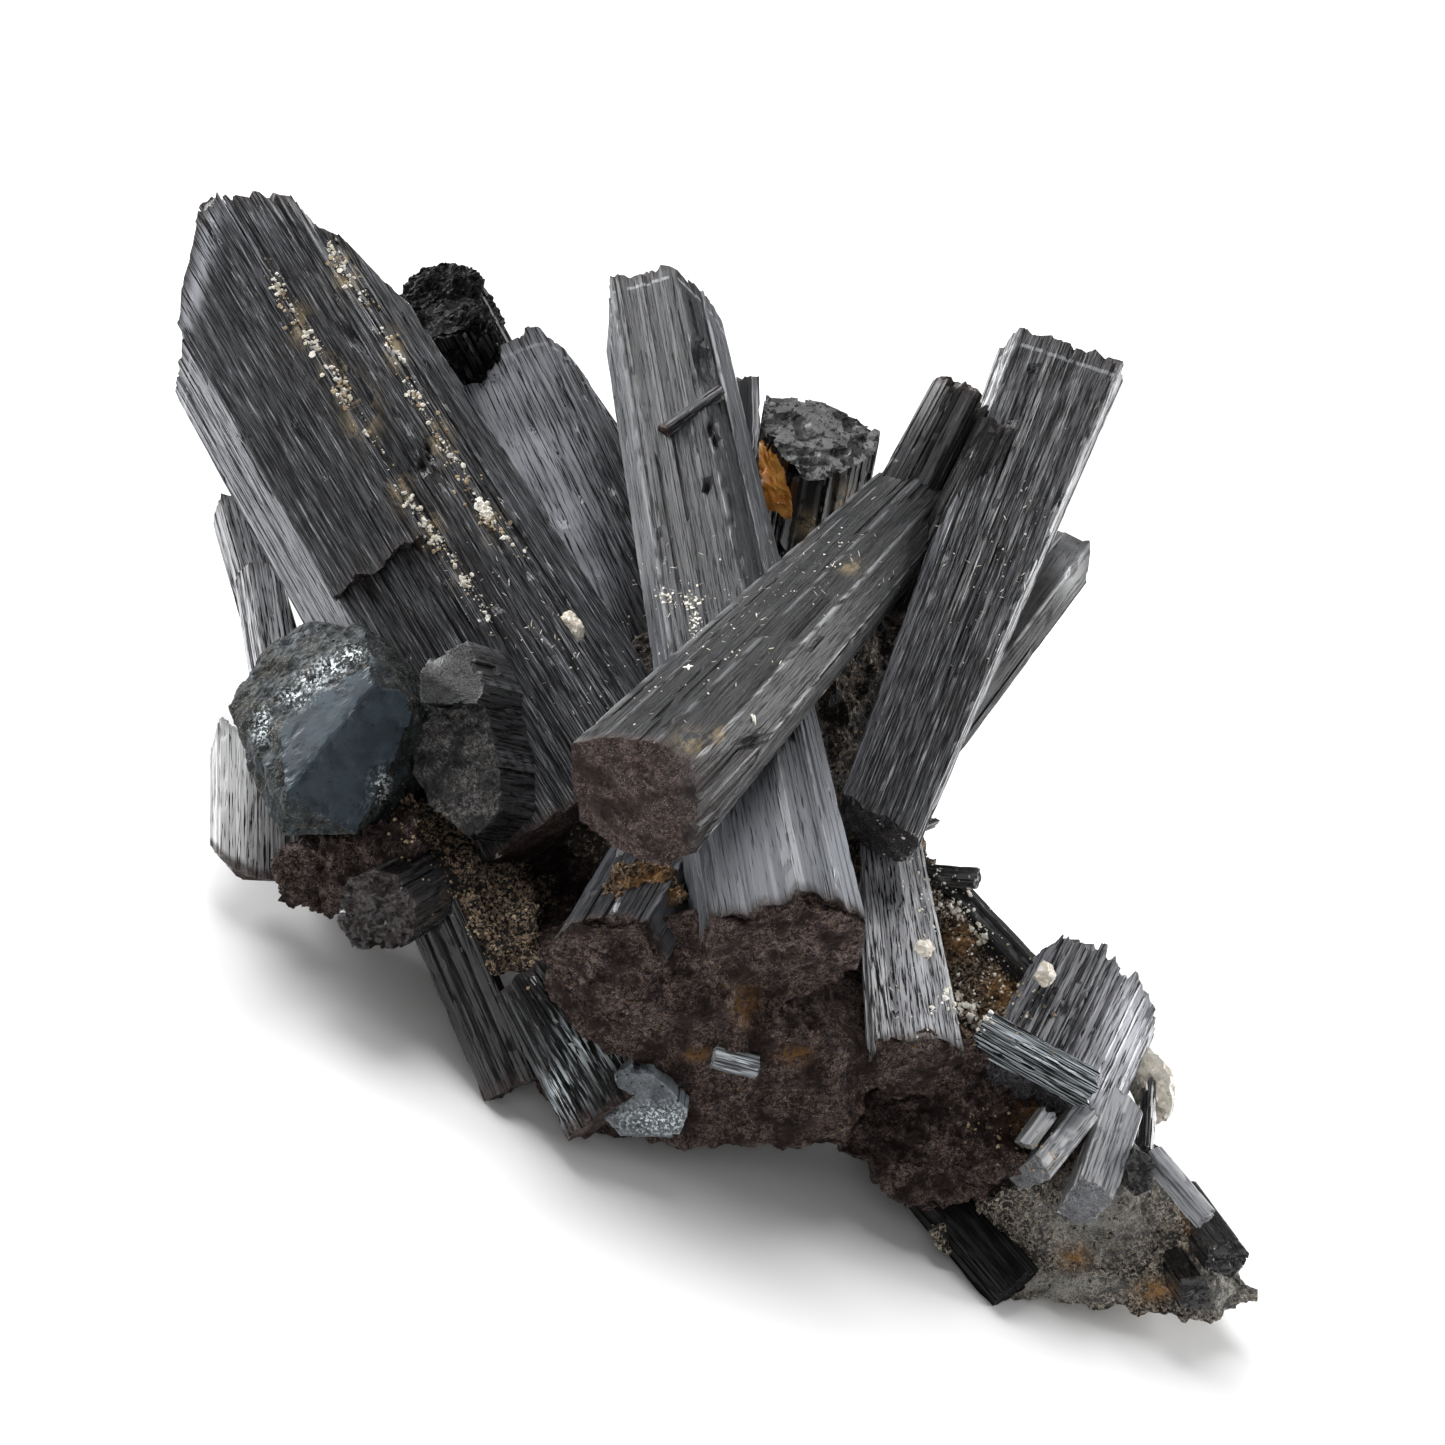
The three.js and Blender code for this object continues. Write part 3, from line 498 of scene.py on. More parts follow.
# A near-black schorl with its reflection turned down: partly a dull black crystal, partly painted shade.
schorl_shaded = schorl("schorl_shaded", rgb(0.003, 0.003, 0.0032), gloss=0.3, grooves=0.5, dust=0.2, shine=0.12,
    sparkle=0.1, specular=0.03, torn=(rgb(0.004, 0.0035, 0.003), rgb(0.022, 0.018, 0.015)))
schorl_granular = schorl("schorl_granular", rgb(0.03, 0.03, 0.033), fine=4.6,
    torn=(rgb(0.028, 0.027, 0.027), rgb(0.3, 0.29, 0.285)))
schorl_pitted = schorl("schorl_pitted", rgb(0.03, 0.03, 0.031), gloss=0.3, grooves=0.1, fine=1.5, dust=0.3,
    shine=0.6, sparkle=0.0, dash=3.0, depth=0.25)
schorl_steel = schorl("schorl_steel", rgb(0.1, 0.115, 0.13), gloss=0.25, grooves=-0.3, shine=0.8,
    sparkle=0.3, depth=0.06)


def end_relief(style, width, height, rng):
    """How far back each point of a crystal's end lies: torn columns, a rough break or a pitted end."""
    kind, size, depth = style[:3]
    count = max(6, int(width * height / size**2))
    seeds = np.column_stack([rng.uniform(-width, width, 4 * count), rng.uniform(-height, height, 4 * count)])
    backs = rng.random(4 * count)
    shift = rng.random(3) * 50

    def relief(x, y):
        rough = np.array([
            noise.fractal(Vector((u / size + shift[0], v / size + shift[1], shift[2])), 0.8, 2.2, 4)
            for u, v in zip(x, y)
        ])
        if kind == "broken":
            return depth * np.clip(0.5 + 0.7 * rough, 0, 2)
        near = np.argmin((x[:, None] - seeds[:, 0]) ** 2 + (y[:, None] - seeds[:, 1]) ** 2, axis=1)
        if kind == "columns":
            return depth * np.clip(backs[near] + 0.35 * rough, 0, 2)
        gap = np.sqrt(np.min((x[:, None] - seeds[:, 0]) ** 2 + (y[:, None] - seeds[:, 1]) ** 2, axis=1))
        pits = np.clip(1 - gap / (size * (0.25 + 0.5 * backs[near])), 0, 1) ** 0.6
        return depth * (pits + 0.12 * np.clip(0.4 + rough, 0, 2))

    return relief


def end_planes(corners, heights, upward):
    """The flat facets that a crystal's end has over its corners, as height = a * x + b * y + c."""
    sign = 1 if upward else -1
    spots = np.column_stack([corners[:, 1], corners[:, 0], np.ones(len(corners))])
    planes = []
    for three in itertools.combinations(range(len(spots)), 3):
        base = spots[list(three)]
        if abs(np.linalg.det(base)) > 1e-6:
            plane = np.linalg.solve(base, heights[list(three)])
            if np.all(sign * (spots @ plane - heights) > -1e-6):
                planes.append(plane)
    return np.array(planes), (np.min if upward else np.max)


def close_end(ring, spacing, rng):
    """Triangles over one end: new inner points, and faces that number them on from the ring's points."""
    low, high = ring.min(0), ring.max(0)
    steps = np.maximum(2, ((high - low) / spacing).astype(int))
    across, up = (np.linspace(low[k], high[k], steps[k]) for k in (0, 1))
    grid = np.stack(np.meshgrid(across, up), -1)
    inner = grid.reshape(-1, 2) + rng.uniform(-0.32, 0.32, (grid.size // 2, 2)) * spacing
    after = np.roll(ring, -1, axis=0)
    crossed = (ring[:, 1] > inner[:, 1:2]) != (after[:, 1] > inner[:, 1:2])
    drop = np.where(after[:, 1] == ring[:, 1], 1e-9, after[:, 1] - ring[:, 1])
    at = (after[:, 0] - ring[:, 0]) * (inner[:, 1:2] - ring[:, 1]) / drop + ring[:, 0]
    inside = (crossed & (inner[:, 0:1] < at)).sum(axis=1) % 2 == 1
    gap = ((inner[:, None] - ring[None]) ** 2).sum(2).min(1)
    inner = inner[inside & (gap > (0.4 * spacing) ** 2)]
    places = [Vector(p) for p in np.vstack([ring, inner])]
    border = [(i, (i + 1) % len(ring)) for i in range(len(ring))]
    found, _, faces, origin, _, _ = delaunay_2d_cdt(places, border, [], 1, 1e-7)
    extra = len(places)
    index, added = [], []
    for spot, source in zip(found, origin):
        if source:
            index.append(source[0])
        else:
            index.append(extra + len(added))
            added.append(spot)
    inner = np.vstack([inner, np.array(added).reshape(-1, 2)])
    return inner, [tuple(index[k] for k in face) for face in faces]


CHIPPED = 0.45  # mm, how far the chips reach in from an edge
DEEP_GROOVE = 2.2  # times the depth of a rib, added to one rib in ten
BROKEN_NEAR = 0.5  # mm, how far the broken look reaches in from the near end
BROKEN_FAR = 0.35  # mm, the same from the far end
HOLE_DEPTH = 0.6  # mm
NO_LINE = 99.0  # mm, so far from the tip that no growth line shows


def crystal(
    name, near, far, section, material, end_on=False, swell=1.0, narrow=1.0, rib=0.4, deep=0.09, ring=0.8,
    run=9.0, far_end=("columns", 0.7, 0.5, 0.35), near_end=("broken", 1.6, 0.3, 1.0), cell=0.3, dents=(),
    silver=(), dirt=(), pale=(), chips=0.22, frost=0.4, base=STAND, growth_line=False, whole=(),
    holes=(),
):
    """One prism of schorl, ribbed lengthwise all round. Each section corner is (across, toward, short, late):
    short is how far that edge stops before the far end, late how far after the near end it starts. An end is
    (style, size, depth, how much it looks broken). Spots are picture pixels: silver ones are metallic with a
    painted glint, dirt ones are real dirt, pale ones are painted sheen and highlight, whole ones hide the
    broken look, and pit ones are sunk and painted black as their shade. The sheen amount is a painted
    reflection on the faces turned sideways."""
    rng = np.random.default_rng(sum(name.encode()))
    axes, length = axes_of(near, far, end_on)
    corners = np.array([list(c) + [0.0] * (4 - len(c)) for c in section])
    turned = np.roll(corners, -1, axis=0)
    if np.sum(corners[:, 1] * turned[:, 0] - turned[:, 1] * corners[:, 0]) < 0:
        corners = corners[::-1]
    rows, strip_of = [], []
    strips = 0
    for i, begin in enumerate(corners):
        end = corners[(i + 1) % len(corners)]
        run_x, run_y = end[1] - begin[1], end[0] - begin[0]
        wide = math.hypot(run_x, run_y)
        out_x, out_y = run_y / wide, -run_x / wide
        count = max(1, round(wide / rib))
        widths = rng.gamma(1.6, 1.0, count) + 0.35
        edges = np.concatenate([[0], np.cumsum(widths / widths.sum())])
        margin = min(0.09, 0.12 * wide) / wide
        edges = margin + edges * (1 - 2 * margin)
        for k in range(count):
            gap = min(0.02 / wide, 0.2 * (edges[k + 1] - edges[k]))
            for side, share in ((-1, edges[k] + gap / 2), (1, edges[k + 1] - gap / 2)):
                at = begin + (end - begin) * share
                corner = min(share, 1 - share) * wide
                rows.append((at[1], at[0], out_x, out_y, at[2], at[3], side, corner))
                strip_of.append(strips)
            strips += 1
    rows = np.array(rows)
    strip_of = np.array(strip_of)
    x, y, out_x, out_y, short, late, side, corner = rows.T
    reach_x, reach_y = np.abs(x).max(), np.abs(y).max()
    far_relief = end_relief(far_end, reach_x, reach_y, rng)
    near_relief = end_relief(near_end, reach_x, reach_y, rng)
    top = length - short - far_relief(x * narrow, y * narrow)
    bottom = late + near_relief(x * swell, y * swell)
    rings = max(3, int(length / ring) + 1)
    share = np.linspace(0, 1, rings)[:, None]
    height = bottom + (top - bottom) * share
    changes = np.cumsum(rng.random((rings, strips)) < length / rings / run, axis=0)
    levels = rng.random((int(changes.max()) + 1, strips)) ** 1.8
    levels = levels + DEEP_GROOVE * (rng.random(levels.shape) > 0.9)
    level = levels[changes, np.arange(strips)][:, strip_of]
    tilt = rng.uniform(-0.4, 0.4, strips)[strip_of] * side
    knots = max(6, strips // 7)
    folds = rng.random(knots + 1)
    folds[-1] = folds[0]
    fold = np.interp(np.linspace(0, knots, len(x)), np.arange(knots + 1), folds)
    inward = deep * (level + tilt + 0.6 * fold + 0.4)
    bite = np.array([
        [noise.noise(Vector((h * 0.9, strip * 3.7, strips))) for h in height[:, column]]
        for column, strip in enumerate(np.round(corner < 0.5) * (strip_of // 3))
    ]).T
    inward = inward + chips * np.clip(bite - 0.12, 0, 1) * (corner < CHIPPED)
    for across, toward, along, wide, down in dents:
        gap = ((x - toward) ** 2 + (y - across) ** 2 + (0.45 * (height - along)) ** 2) / wide**2
        inward = inward + down * np.clip(1 - gap, 0, 1)
    inward = np.maximum(inward, 0)
    size = swell + (narrow - swell) * height / length
    points = np.stack([x * size - out_x * inward, y * size - out_y * inward, height], -1)
    around = len(x)
    faces = []
    for j in range(rings - 1):
        low, high = j * around, (j + 1) * around
        faces += [(low + i, low + (i + 1) % around, high + (i + 1) % around, high + i) for i in range(around)]
    flat = points.reshape(-1, 3)
    broken = np.zeros(len(flat))
    from_near = (height - bottom).ravel()
    broken[from_near < BROKEN_NEAR] = near_end[3] * 0.8
    from_far = (top - height).ravel()
    broken[from_far < BROKEN_FAR] = far_end[3]
    turn = np.array(axes)
    toward_eye = turn[2, 0] * out_x + turn[2, 1] * out_y
    sideways = np.abs(turn[0, 0] * out_x + turn[0, 1] * out_y)
    # Painted sheen: a painted reflection on faces turned sideways to the camera, and painted highlight lines
    # along the ridges.
    frosted = frost * np.clip((sideways - 0.55) / 0.3, 0, 1)
    frosted = np.maximum(frosted, 0.55 * (corner < min(0.1, 0.3 * rib))[None] * (bite < 0.1)).ravel()
    parts, masks = [flat], [broken]
    ends = (far_relief, length - corners[:, 2], far_end[3]), (near_relief, corners[:, 3], near_end[3])
    for last, (relief, heights, mask) in zip((True, False), ends):  # the far end is last
        first = (rings - 1) * around if last else 0
        rim = points[-1 if last else 0]
        inner, caps = close_end(rim[:, :2], cell, rng)
        if len(inner):
            planes, pick = end_planes(corners, heights, last)
            grown_by = narrow if last else swell
            level = np.column_stack([inner / grown_by, np.ones(len(inner))]) @ planes.T
            plane = pick(level, axis=1)
            steep = np.hypot(*planes[np.argmin(np.abs(level - plane[:, None]), axis=1), :2].T)
            back = relief(inner[:, 0], inner[:, 1])
            z = plane - back if last else plane + back
            parts.append(np.column_stack([inner, z]))
            masks.append(np.where(steep < 1.2, mask, 0.15))
        start = sum(len(part) for part in parts) - len(inner)
        for face in caps:
            placed = [first + k if k < around else start + k - around for k in face]
            faces.append(placed if last else placed[::-1])
    flat = np.vstack(parts)
    mesh = bpy.data.meshes.new(name)
    mesh.from_pydata(flat * MM, [], faces)
    laid = flat @ turn[:3, :3].T + turn[:3, 3]
    sides = rings * around
    seen = np.ones(len(flat))
    seen[:sides] = np.tile(np.clip(4 * toward_eye + 0.6, 0, 1), rings)
    frosted = np.concatenate([frosted, np.zeros(len(flat) - len(frosted))])
    # Pale spots add painted sheen and highlight on the faces toward the camera.
    frosted = np.maximum(frosted, stain(laid, pale) * seen)
    tip = np.full(len(flat), NO_LINE)
    if growth_line:
        tip[:sides] = (length - short - height).ravel()
    # Pits: sunk into the faces and painted black as their shade.
    hole = stain(laid, holes) * seen
    flat[:sides, :2] -= HOLE_DEPTH * hole[:sides, None] * np.tile(np.column_stack([out_x, out_y]), (rings, 1))
    mesh.vertices.foreach_set("co", (flat * MM).ravel())
    paint(mesh, hole=hole, broken=np.concatenate(masks) * (1 - stain(laid, whole)),
          silver=stain(laid, silver) * seen, frost=frosted, dirt=stain(laid, dirt) * seen, tip=tip)
    return keep(name, mesh, base @ axes @ IN_METRES, material)


GROOVE_LEFT = [(270, 270), (300, 325), (330, 370), (360, 420), (400, 490), (430, 530), (450, 560),
    (490, 620)]
GROOVE_RIGHT = [(325, 240), (345, 275), (365, 300), (395, 350), (410, 385), (440, 440), (465, 480),
    (490, 520), (530, 560)]
GROOVE_DIRT = [(x, y, 9, 16) for x, y in GROOVE_LEFT[1:7] + GROOVE_RIGHT[1:8:2]]
GROOVE_DIRT += [(362, 415, 14, 24), (343, 378, 9, 16)]
# The pits along the grooves are sunk and painted black as their shade.
GREAT_LEFT = dict(near=(-9.2, -6.2, -2), far=(-34.7, 34.5, -15.8), swell=1.13, material=schorl_deep,
    rib=0.3, dirt=GROOVE_DIRT, holes=((413, 533, 10, 5), (404, 529, 5, 5), (428, 452, 4, 8),
    (421, 462, 5, 6), (412, 468, 7, 3)))
GREAT_LEFT_TIP = ("columns", 0.7, 0.7, 0.5)
# The sheen amount here is a painted reflection on the sideways faces.
crystal("great_left_face", growth_line=True, section=[(-8.4, -2.2, 8.8), (-5.2, 2.6, 7.2), (-0.2, 2.9, 1.2),
    (-0.2, -6.4), (-4, -6.4, 3), (-7.4, -4.6, 7.4)], far_end=GREAT_LEFT_TIP, deep=0.08, frost=0.6,
    **GREAT_LEFT)
crystal("great_left_spine", growth_line=True, section=[(-0.4, 2.9, 0.2), (1.4, 3, 0.8), (1.5, -6.6, 0.8),
    (-0.4, -6.6)], far_end=GREAT_LEFT_TIP, deep=0.12, **GREAT_LEFT)
# Its pale spots are a painted highlight on the bevelled upper left corner.
crystal("great_left_sheet", (-19.5, 10, -7.4), (-34.7, 34.5, -15.8), [(-5.4, 3.2, 7.2), (-0.3, 3.7, 1.1),
    (1.4, 3.8, 1), (1.3, 1, 0.8), (-5.3, 1, 6.6)], schorl_deep, swell=1.06, frost=0.6,
    pale=[(213 - 5 * k, 219 + 20 * k, 9, 13) for k in range(6)], dirt=GROOVE_DIRT, far_end=GREAT_LEFT_TIP,
    near_end=("broken", 0.8, 0.7, 0.4), rib=0.3, deep=0.07)
crystal("great_left_middle", section=[(1.3, 3, 0.9), (3.8, 2.7, 1.8), (5.5, 2.1, 3.2), (5.7, -5.6, 3),
    (1.3, -6.6, 0.8)], far_end=("columns", 0.6, 1.0, 0.5), deep=0.1, **GREAT_LEFT)
crystal("great_left_edge", section=[(5.4, 1.5, 4.8), (6.6, 1.1, 6.6), (8, -0.9, 12.4), (7.4, -4.4, 9),
    (5.4, -5.6, 4.6)], far_end=("columns", 0.6, 1.2, 0.5), deep=0.1, **GREAT_LEFT)

# The crystals behind.
# More schorl, grown out of the same root: a grey one with a torn top, the rough end of one that lies the
# other way, the long crystal that comes forward through the middle with a needle grown across it, a splinter
# behind that, and a short one that shows its pitted growth end.
# Its pale spots are painted sheen that lightens the face.
crystal("behind_grey", (-2.2, 0.2, -14), (-15.1, 27, -26), [(-5.6, -1.5), (-4.6, 1.5, -0.4),
    (2.2, 2.3, 0.8), (3.3, 0.8, 1.8), (4.6, -2.4, 9), (3.4, -5, 3), (-4, -5)], schorl_deep,
    growth_line=True, far_end=("columns", 0.7, 0.7, 0.3), rib=0.34, frost=0.0, pale=((505, 385, 60, 52),
    (535, 450, 52, 52), (560, 520, 40, 52), (583, 590, 28, 45)))
ROUGH_BEHIND = dict(near=(-19.8, 29.6, -23), far=(-13, 17, -38), end_on=True, section=[(-3.6, 1.8),
    (-2.6, 3.5), (-0.8, 4.3), (1.3, 3.3), (2.9, 1.7), (3.8, -1.6), (2.8, -3.4), (0.4, -4.4), (-2.6, -3.6)])
# The rough end behind uses the near-black schorl with its reflection turned down, partly painted shade.
rock("behind_rough_lumps", [stub(size=1.0, reach=(-0.2, 4.5), **ROUGH_BEHIND)], schorl_shaded, cell=0.2,
    layers=((2.4, 0.8), (0.8, 0.3), (0.35, 0.14)), bias=0.2)
crystal("behind_rough_end", material=schorl_shaded, near_end=("broken", 1.3, 0.5, 0.25), deep=0.25, ring=0.4,
    chips=0.5, **ROUGH_BEHIND)
BROWN_BREAK = ("broken", 1.6, 1.1, 1.0)
# Its pale spots are painted light on the lower part, which lies in the shade of the crystal across; its pits
# are painted black as shade.
crystal("middle_long", growth_line=True, material=schorl_grey, far_end=("columns", 0.6, 0.8, 0.4),
    near_end=BROWN_BREAK, rib=0.34, deep=0.1, holes=((712, 428, 4, 8), (718, 442, 3, 5), (706, 486, 3, 6)),
    dents=((2.6, 4.2, 44, 1.0, 0.9),), pale=((760, 860, 85, 85), (845, 850, 34, 120), (745, 880, 60, 60)),
    **FRONT_CROSSING)
crystal("splinter_behind", (2.1, 11.5, -24), (1.8, 24.6, -26), [(-0.9, 0.4), (0.2, 0.9), (0.9, 0.2),
    (0.6, -0.9), (-0.7, -0.8)], schorl_grey, rib=0.22, deep=0.05, ring=0.5)
crystal("needle_across", (-3.9, 18.9, -8.1), (0.1, 21.9, -10.3), [(-0.6, 0), (0, 0.65), (0.6, 0),
    (0.3, -1.1), (-0.3, -1.1)], schorl_deep, rib=0.15, deep=0.04, ring=0.3, chips=0.1, cell=0.15)
# Its pits are sunk and painted black as their shade.
crystal("short_pitted", (6.7, 19.2, -14), (4.6, 6, -28), [(-3.4, 4.4), (0.5, 3.7), (2.2, 2.4), (4.2, 0.6),
    (3.4, -1.8), (-0.4, -4.4), (-1.8, -4.4), (-3.6, -0.7), (-4.2, 1.2)], schorl_pitted, end_on=True,
    holes=((791, 416, 9, 5), (844, 415, 13, 6), (770, 440, 5, 3), (815, 436, 11, 3), (800, 452, 16, 4),
    (835, 452, 18, 4), (812, 462, 22, 5), (790, 470, 10, 5), (862, 440, 6, 4)),
    near_end=("pitted", 1.5, 0.3, 0.0), deep=0.12, ring=0.5, frost=0.0, dirt=((842, 500, 9, 14),
    (806, 524, 9, 12)))

# The right-hand crystals.
# Schorl that leans to the right out of the root: two dark crystals with rough ends side by side, the long
# right crystal that widens to its torn tip, and a glossy one behind it with a painted highlight.
crystal("dark_pair_left", (10.9, 12.6, -12.5), (16.2, 22.9, -10.5), [(-2, 0.3, 0.9), (-0.8, 1.8, 0.4),
    (1.4, 1.8, 0.2), (2.4, 0.2, 1.2), (1.2, -2, 1), (-1.4, -1.6, 0.6)], schorl_black, swell=1.15,
    far_end=("columns", 0.6, 1.1, 0.5), rib=0.3, ring=0.5)
crystal("dark_pair_right", (11.4, 6.5, -9), (18, 19.8, -9.8), [(-1.3, 0.8), (0.4, 1.6), (1.5, 0.6),
    (1.2, -1.8), (-1.2, -1.6)], schorl_black, far_end=("broken", 0.8, 0.6, 0.2), rib=0.3, ring=0.5)
crystal("right_long", (9.3, -7.1, 1), (22.9, 24.8, -16.4), [(-4.3, 0.4, 1.4, 1.6), (-3.4, 2.8, 0.6, 0.8),
    (3.9, 3), (4.6, 1.2, 0.6), (4.2, -2.6, 0.8), (1, -4.2), (-3, -3.6, 0.4, 0.6)], schorl_deep,
    growth_line=True, swell=0.65, far_end=("columns", 0.55, 0.7, 0.4), near_end=("broken", 1.2, 0.5, 0.2),
    rib=0.3, deep=0.09)
# Its pale spot is a painted highlight.
crystal("pale_glossy", (6, -11.7, -13.7), (24.6, 12.1, -25), [(-3, 0.5, 0.6), (-1.2, 1.8, -0.6),
    (0.6, 1.7, -0.9), (2.3, 0.2, 1), (1.6, -2.4, 0.6), (-2, -2.4, 0.4)], schorl_dark,
    far_end=("broken", 1.4, 0.7, 0.0), rib=0.6, deep=0.05, frost=0.1, pale=((1070, 560, 14, 30),))

# The crystals in front.
# Schorl once more. The big one lies across the middle with its broken brown end to the camera; the other two
# run out of the root below it, and their broken ends are part of the root.
# Its pits are sunk and painted black as their shade.
crystal("front_across", (-5, -4.6, 18), (13, 14.6, -13), [(-5, -0.3), (-3.9, 1.9), (-1.6, 4.1),
    (0.8, 4.1, 0, 1.4), (3.5, 2.1, 0, 9), (4.6, 0, 0, 0.4), (3.6, -2.5), (0.8, -4.3), (-1.6, -4),
    (-3.5, -2.4)], schorl_dark, narrow=0.68, frost=0.0, whole=((735, 770, 48, 48), (712, 832, 22, 22)),
    holes=((754, 741, 10, 6), (741, 757, 7, 9), (731, 775, 6, 12), (722, 795, 6, 12), (712, 815, 5, 12),
    (705, 835, 4, 10)), dirt=((690, 742, 14, 10), (720, 735, 10, 6), (850, 567, 9, 6)),
    near_end=("broken", 2.2, 0.8, 1.0), far_end=("columns", 0.6, 0.6, 0.5), rib=0.36, deep=0.06, cell=0.22)
crystal("front_low_left", material=schorl_grey, rib=0.34, near_end=BROWN_BREAK, **FRONT_LOW_LEFT)
# The pale material of this crystal is partly painted sheen.
crystal("front_low_right", material=schorl_silvery, rib=0.3, deep=0.1, near_end=BROWN_BREAK,
    **FRONT_LOW_RIGHT)

# The lower left.
# A stubby schorl crystal on a crust of rock, blue-black and satin, with two smooth sloping end faces and
# painted silver glints along their edges, the small broken ends beside and below it, ribbed splinters behind
# whose paleness is partly painted sheen, and a bright fragment left on the root with a painted silver glint.
stubby_satin = schorl("stubby_satin", rgb(0.034, 0.05, 0.064), gloss=0.3, grooves=-0.5, dust=0.25,
    groove_shade=rgb(0.012, 0.018, 0.024), shine=0.1, sparkle=0.05, depth=0.02,
    torn=(rgb(0.01, 0.01, 0.009), rgb(0.075, 0.076, 0.062)))
STUBBY = [(-20.41, 2.13, 12.2), (-25.5, -4.34, 12.8), (-26.15, -0.5, 10.4), (-24.43, 1.57, 10.3),
    (-20.71, 3.45, 11.4), (-18.39, 0.44, 9.4), (-18.72, 1.86, 10.5), (-19.38, -1.94, 8.9),
    (-20.65, -4.45, 8.5), (-21.95, -6.72, 8.2), (-26.35, -6.82, 9), (-29.1, -2, 6.4), (-30.2, 1.1, 4.6),
    (-28.4, 4.4, 3.6), (-25.4, 6.4, 3.2), (-21.9, 6.1, 3.6), (-20.8, 4.4, 5), (-26, 4, -9), (-20, 4, -9),
    (-17, -1, -9), (-18, -6, -8), (-27, -6, -8)]
ROUGH_SIDE = 0.35  # mm, how deep the rough sides are broken


def block(name, points, material, cell, chip, smooth, silver):
    """A crystal with flat end faces: crisp planes, chipped edges, and rough where it isn't one of the smooth
    faces. Each smooth face is given by a direction that it faces."""
    mesh, spots, _, planes = grown([points], cell)
    behind = planes[:, 3] - spots @ planes[:, :3].T
    order = np.sort(behind, axis=1)
    home = planes[np.argmin(behind, axis=1), :3]
    spots = spots + home * order[:, :1]
    apart = np.where(home @ planes[:, :3].T < 0.93, behind, 99.0)
    edge = apart.min(axis=1) - order[:, 0]
    seed = sum(name.encode()) % 97
    chips = np.clip(uneven(spots, 0.9, seed) + 0.1, 0, 1) * np.exp(-edge / 0.35) * chip
    facing = np.max([home @ Vector(way).normalized() for way in smooth], axis=0)
    plain = np.clip((facing - 0.988) / 0.008, 0, 1)
    lift = -chips - (1 - plain) * ROUGH_SIDE * np.clip(0.45 + uneven(spots, 1.1, seed + 1, 4), 0, 1.5)
    spots = spots + home * lift[:, None]
    mesh.vertices.foreach_set("co", (spots * MM).ravel())
    broken = (1 - plain) * np.clip(0.75 + 0.5 * uneven(spots, 1.5, seed + 2), 0, 1)
    # Silver glints along the edges: metallic, their pale colour partly a painted glint.
    paint(mesh, broken=broken, silver=stain(spots, silver))
    mesh.update()
    return keep(name, mesh, STAND @ IN_METRES, material)


# Painted silver glints along the upper edges of the smooth faces.
block("stubby_crystal", STUBBY, stubby_satin, smooth=((-0.444, 0.42, 0.791), (0.602, -0.407, 0.687)),
    chip=0.25, cell=0.22, silver=((294, 698, 13, 8), (312, 681, 13, 9), (331, 667, 14, 9),
    (352, 654, 15, 8), (262, 726, 9, 16), (381, 787, 9, 14)))
# Its pale material and pale spot are painted sheen on a face turned to the light.
crystal("left_pale_ribbed", (-30.7, -10, 0), (-31.3, 0.7, -4), [(-1.5, 0, 2.6, 2.6), (-0.6, 1.2, 0.4, 1),
    (1.2, 1, 2), (4.4, -1.2, 3), (3.6, -4, 3, 1), (0.2, -3.2, 1, 1)], schorl_silvery,
    pale=((232, 800, 40, 100),), rib=0.22, deep=0.1, ring=0.5)
# The splinters' pale material is partly painted sheen.
crystal("left_splinter_behind", (-26.5, -9, -12), (-35.1, 15.6, -22), [(-1, 0, 1.2), (0.3, 1.2),
    (2.8, 0.5, 0.6), (2.4, -2), (-0.5, -1.8, 0.4)], schorl_silvery, rib=0.25, deep=0.09)
crystal("left_splinter_front", (-28, -8, -8), (-32.5, 10.4, -18), [(-1.1, 0.2, 0.4, 0.8), (0.2, 1.2),
    (2.4, 0.6), (2.2, -1.8), (-0.6, -1.6)], schorl_silvery, rib=0.25, deep=0.1)
crystal("left_round_end", (-20.7, -11.2, 9), (-15, -8, -8), [(-1.9, 1.9), (-0.1, 2.5), (1.5, 2.2),
    (2.6, 0.4), (2.5, -1.5), (1.5, -2.4), (-1.8, -2.6), (-2.8, -0.8)], schorl_black, end_on=True,
    near_end=("broken", 0.9, 0.6, 0.3), ring=0.6, cell=0.22)
crystal("grey_rough_end", (-16.4, -1.8, 6), (-12, -3.1, -10), [(-2.7, 1.2), (-0.7, 2.9), (1.9, 3.2),
    (3, -0.5), (3.2, -3.4), (1.4, -5.4), (-1.2, -3.6), (-2.6, -1.4)], schorl_granular, end_on=True,
    near_end=("broken", 0.7, 0.6, 1.0), frost=0.1, ring=0.6, cell=0.2)
# Its pale spot is a painted highlight on a small facet.
crystal("facets_above_rough_end", (-16.4, 2.6, 7.4), (-13, 1.6, -8), [(-2.1, 0.6, 0, 0.4),
    (-1.6, 1.5, 0, 1.1), (0.4, 2.6, 0, 2.2), (2.1, -0.2, 0, 1), (1.8, -1.6, 0, 0), (-1.9, -1.5, 0, 0)],
    schorl_dark, end_on=True, near_end=("broken", 1.5, 0.15, 0.0), ring=0.6, cell=0.2, frost=0.2,
    pale=((436, 655, 9, 9),))
crystal("left_low_black", (-13.1, -22.7, 5), (-18.3, -11.2, 3), [(-1.5, 0.1, 0.8), (-0.2, 1.4), (2.1, 0.9),
    (2.4, -1.2), (-0.9, -1.3)], schorl_black, frost=0.25, rib=0.3, deep=0.06, ring=0.5,
    near_end=("broken", 0.8, 0.4, 0.5))
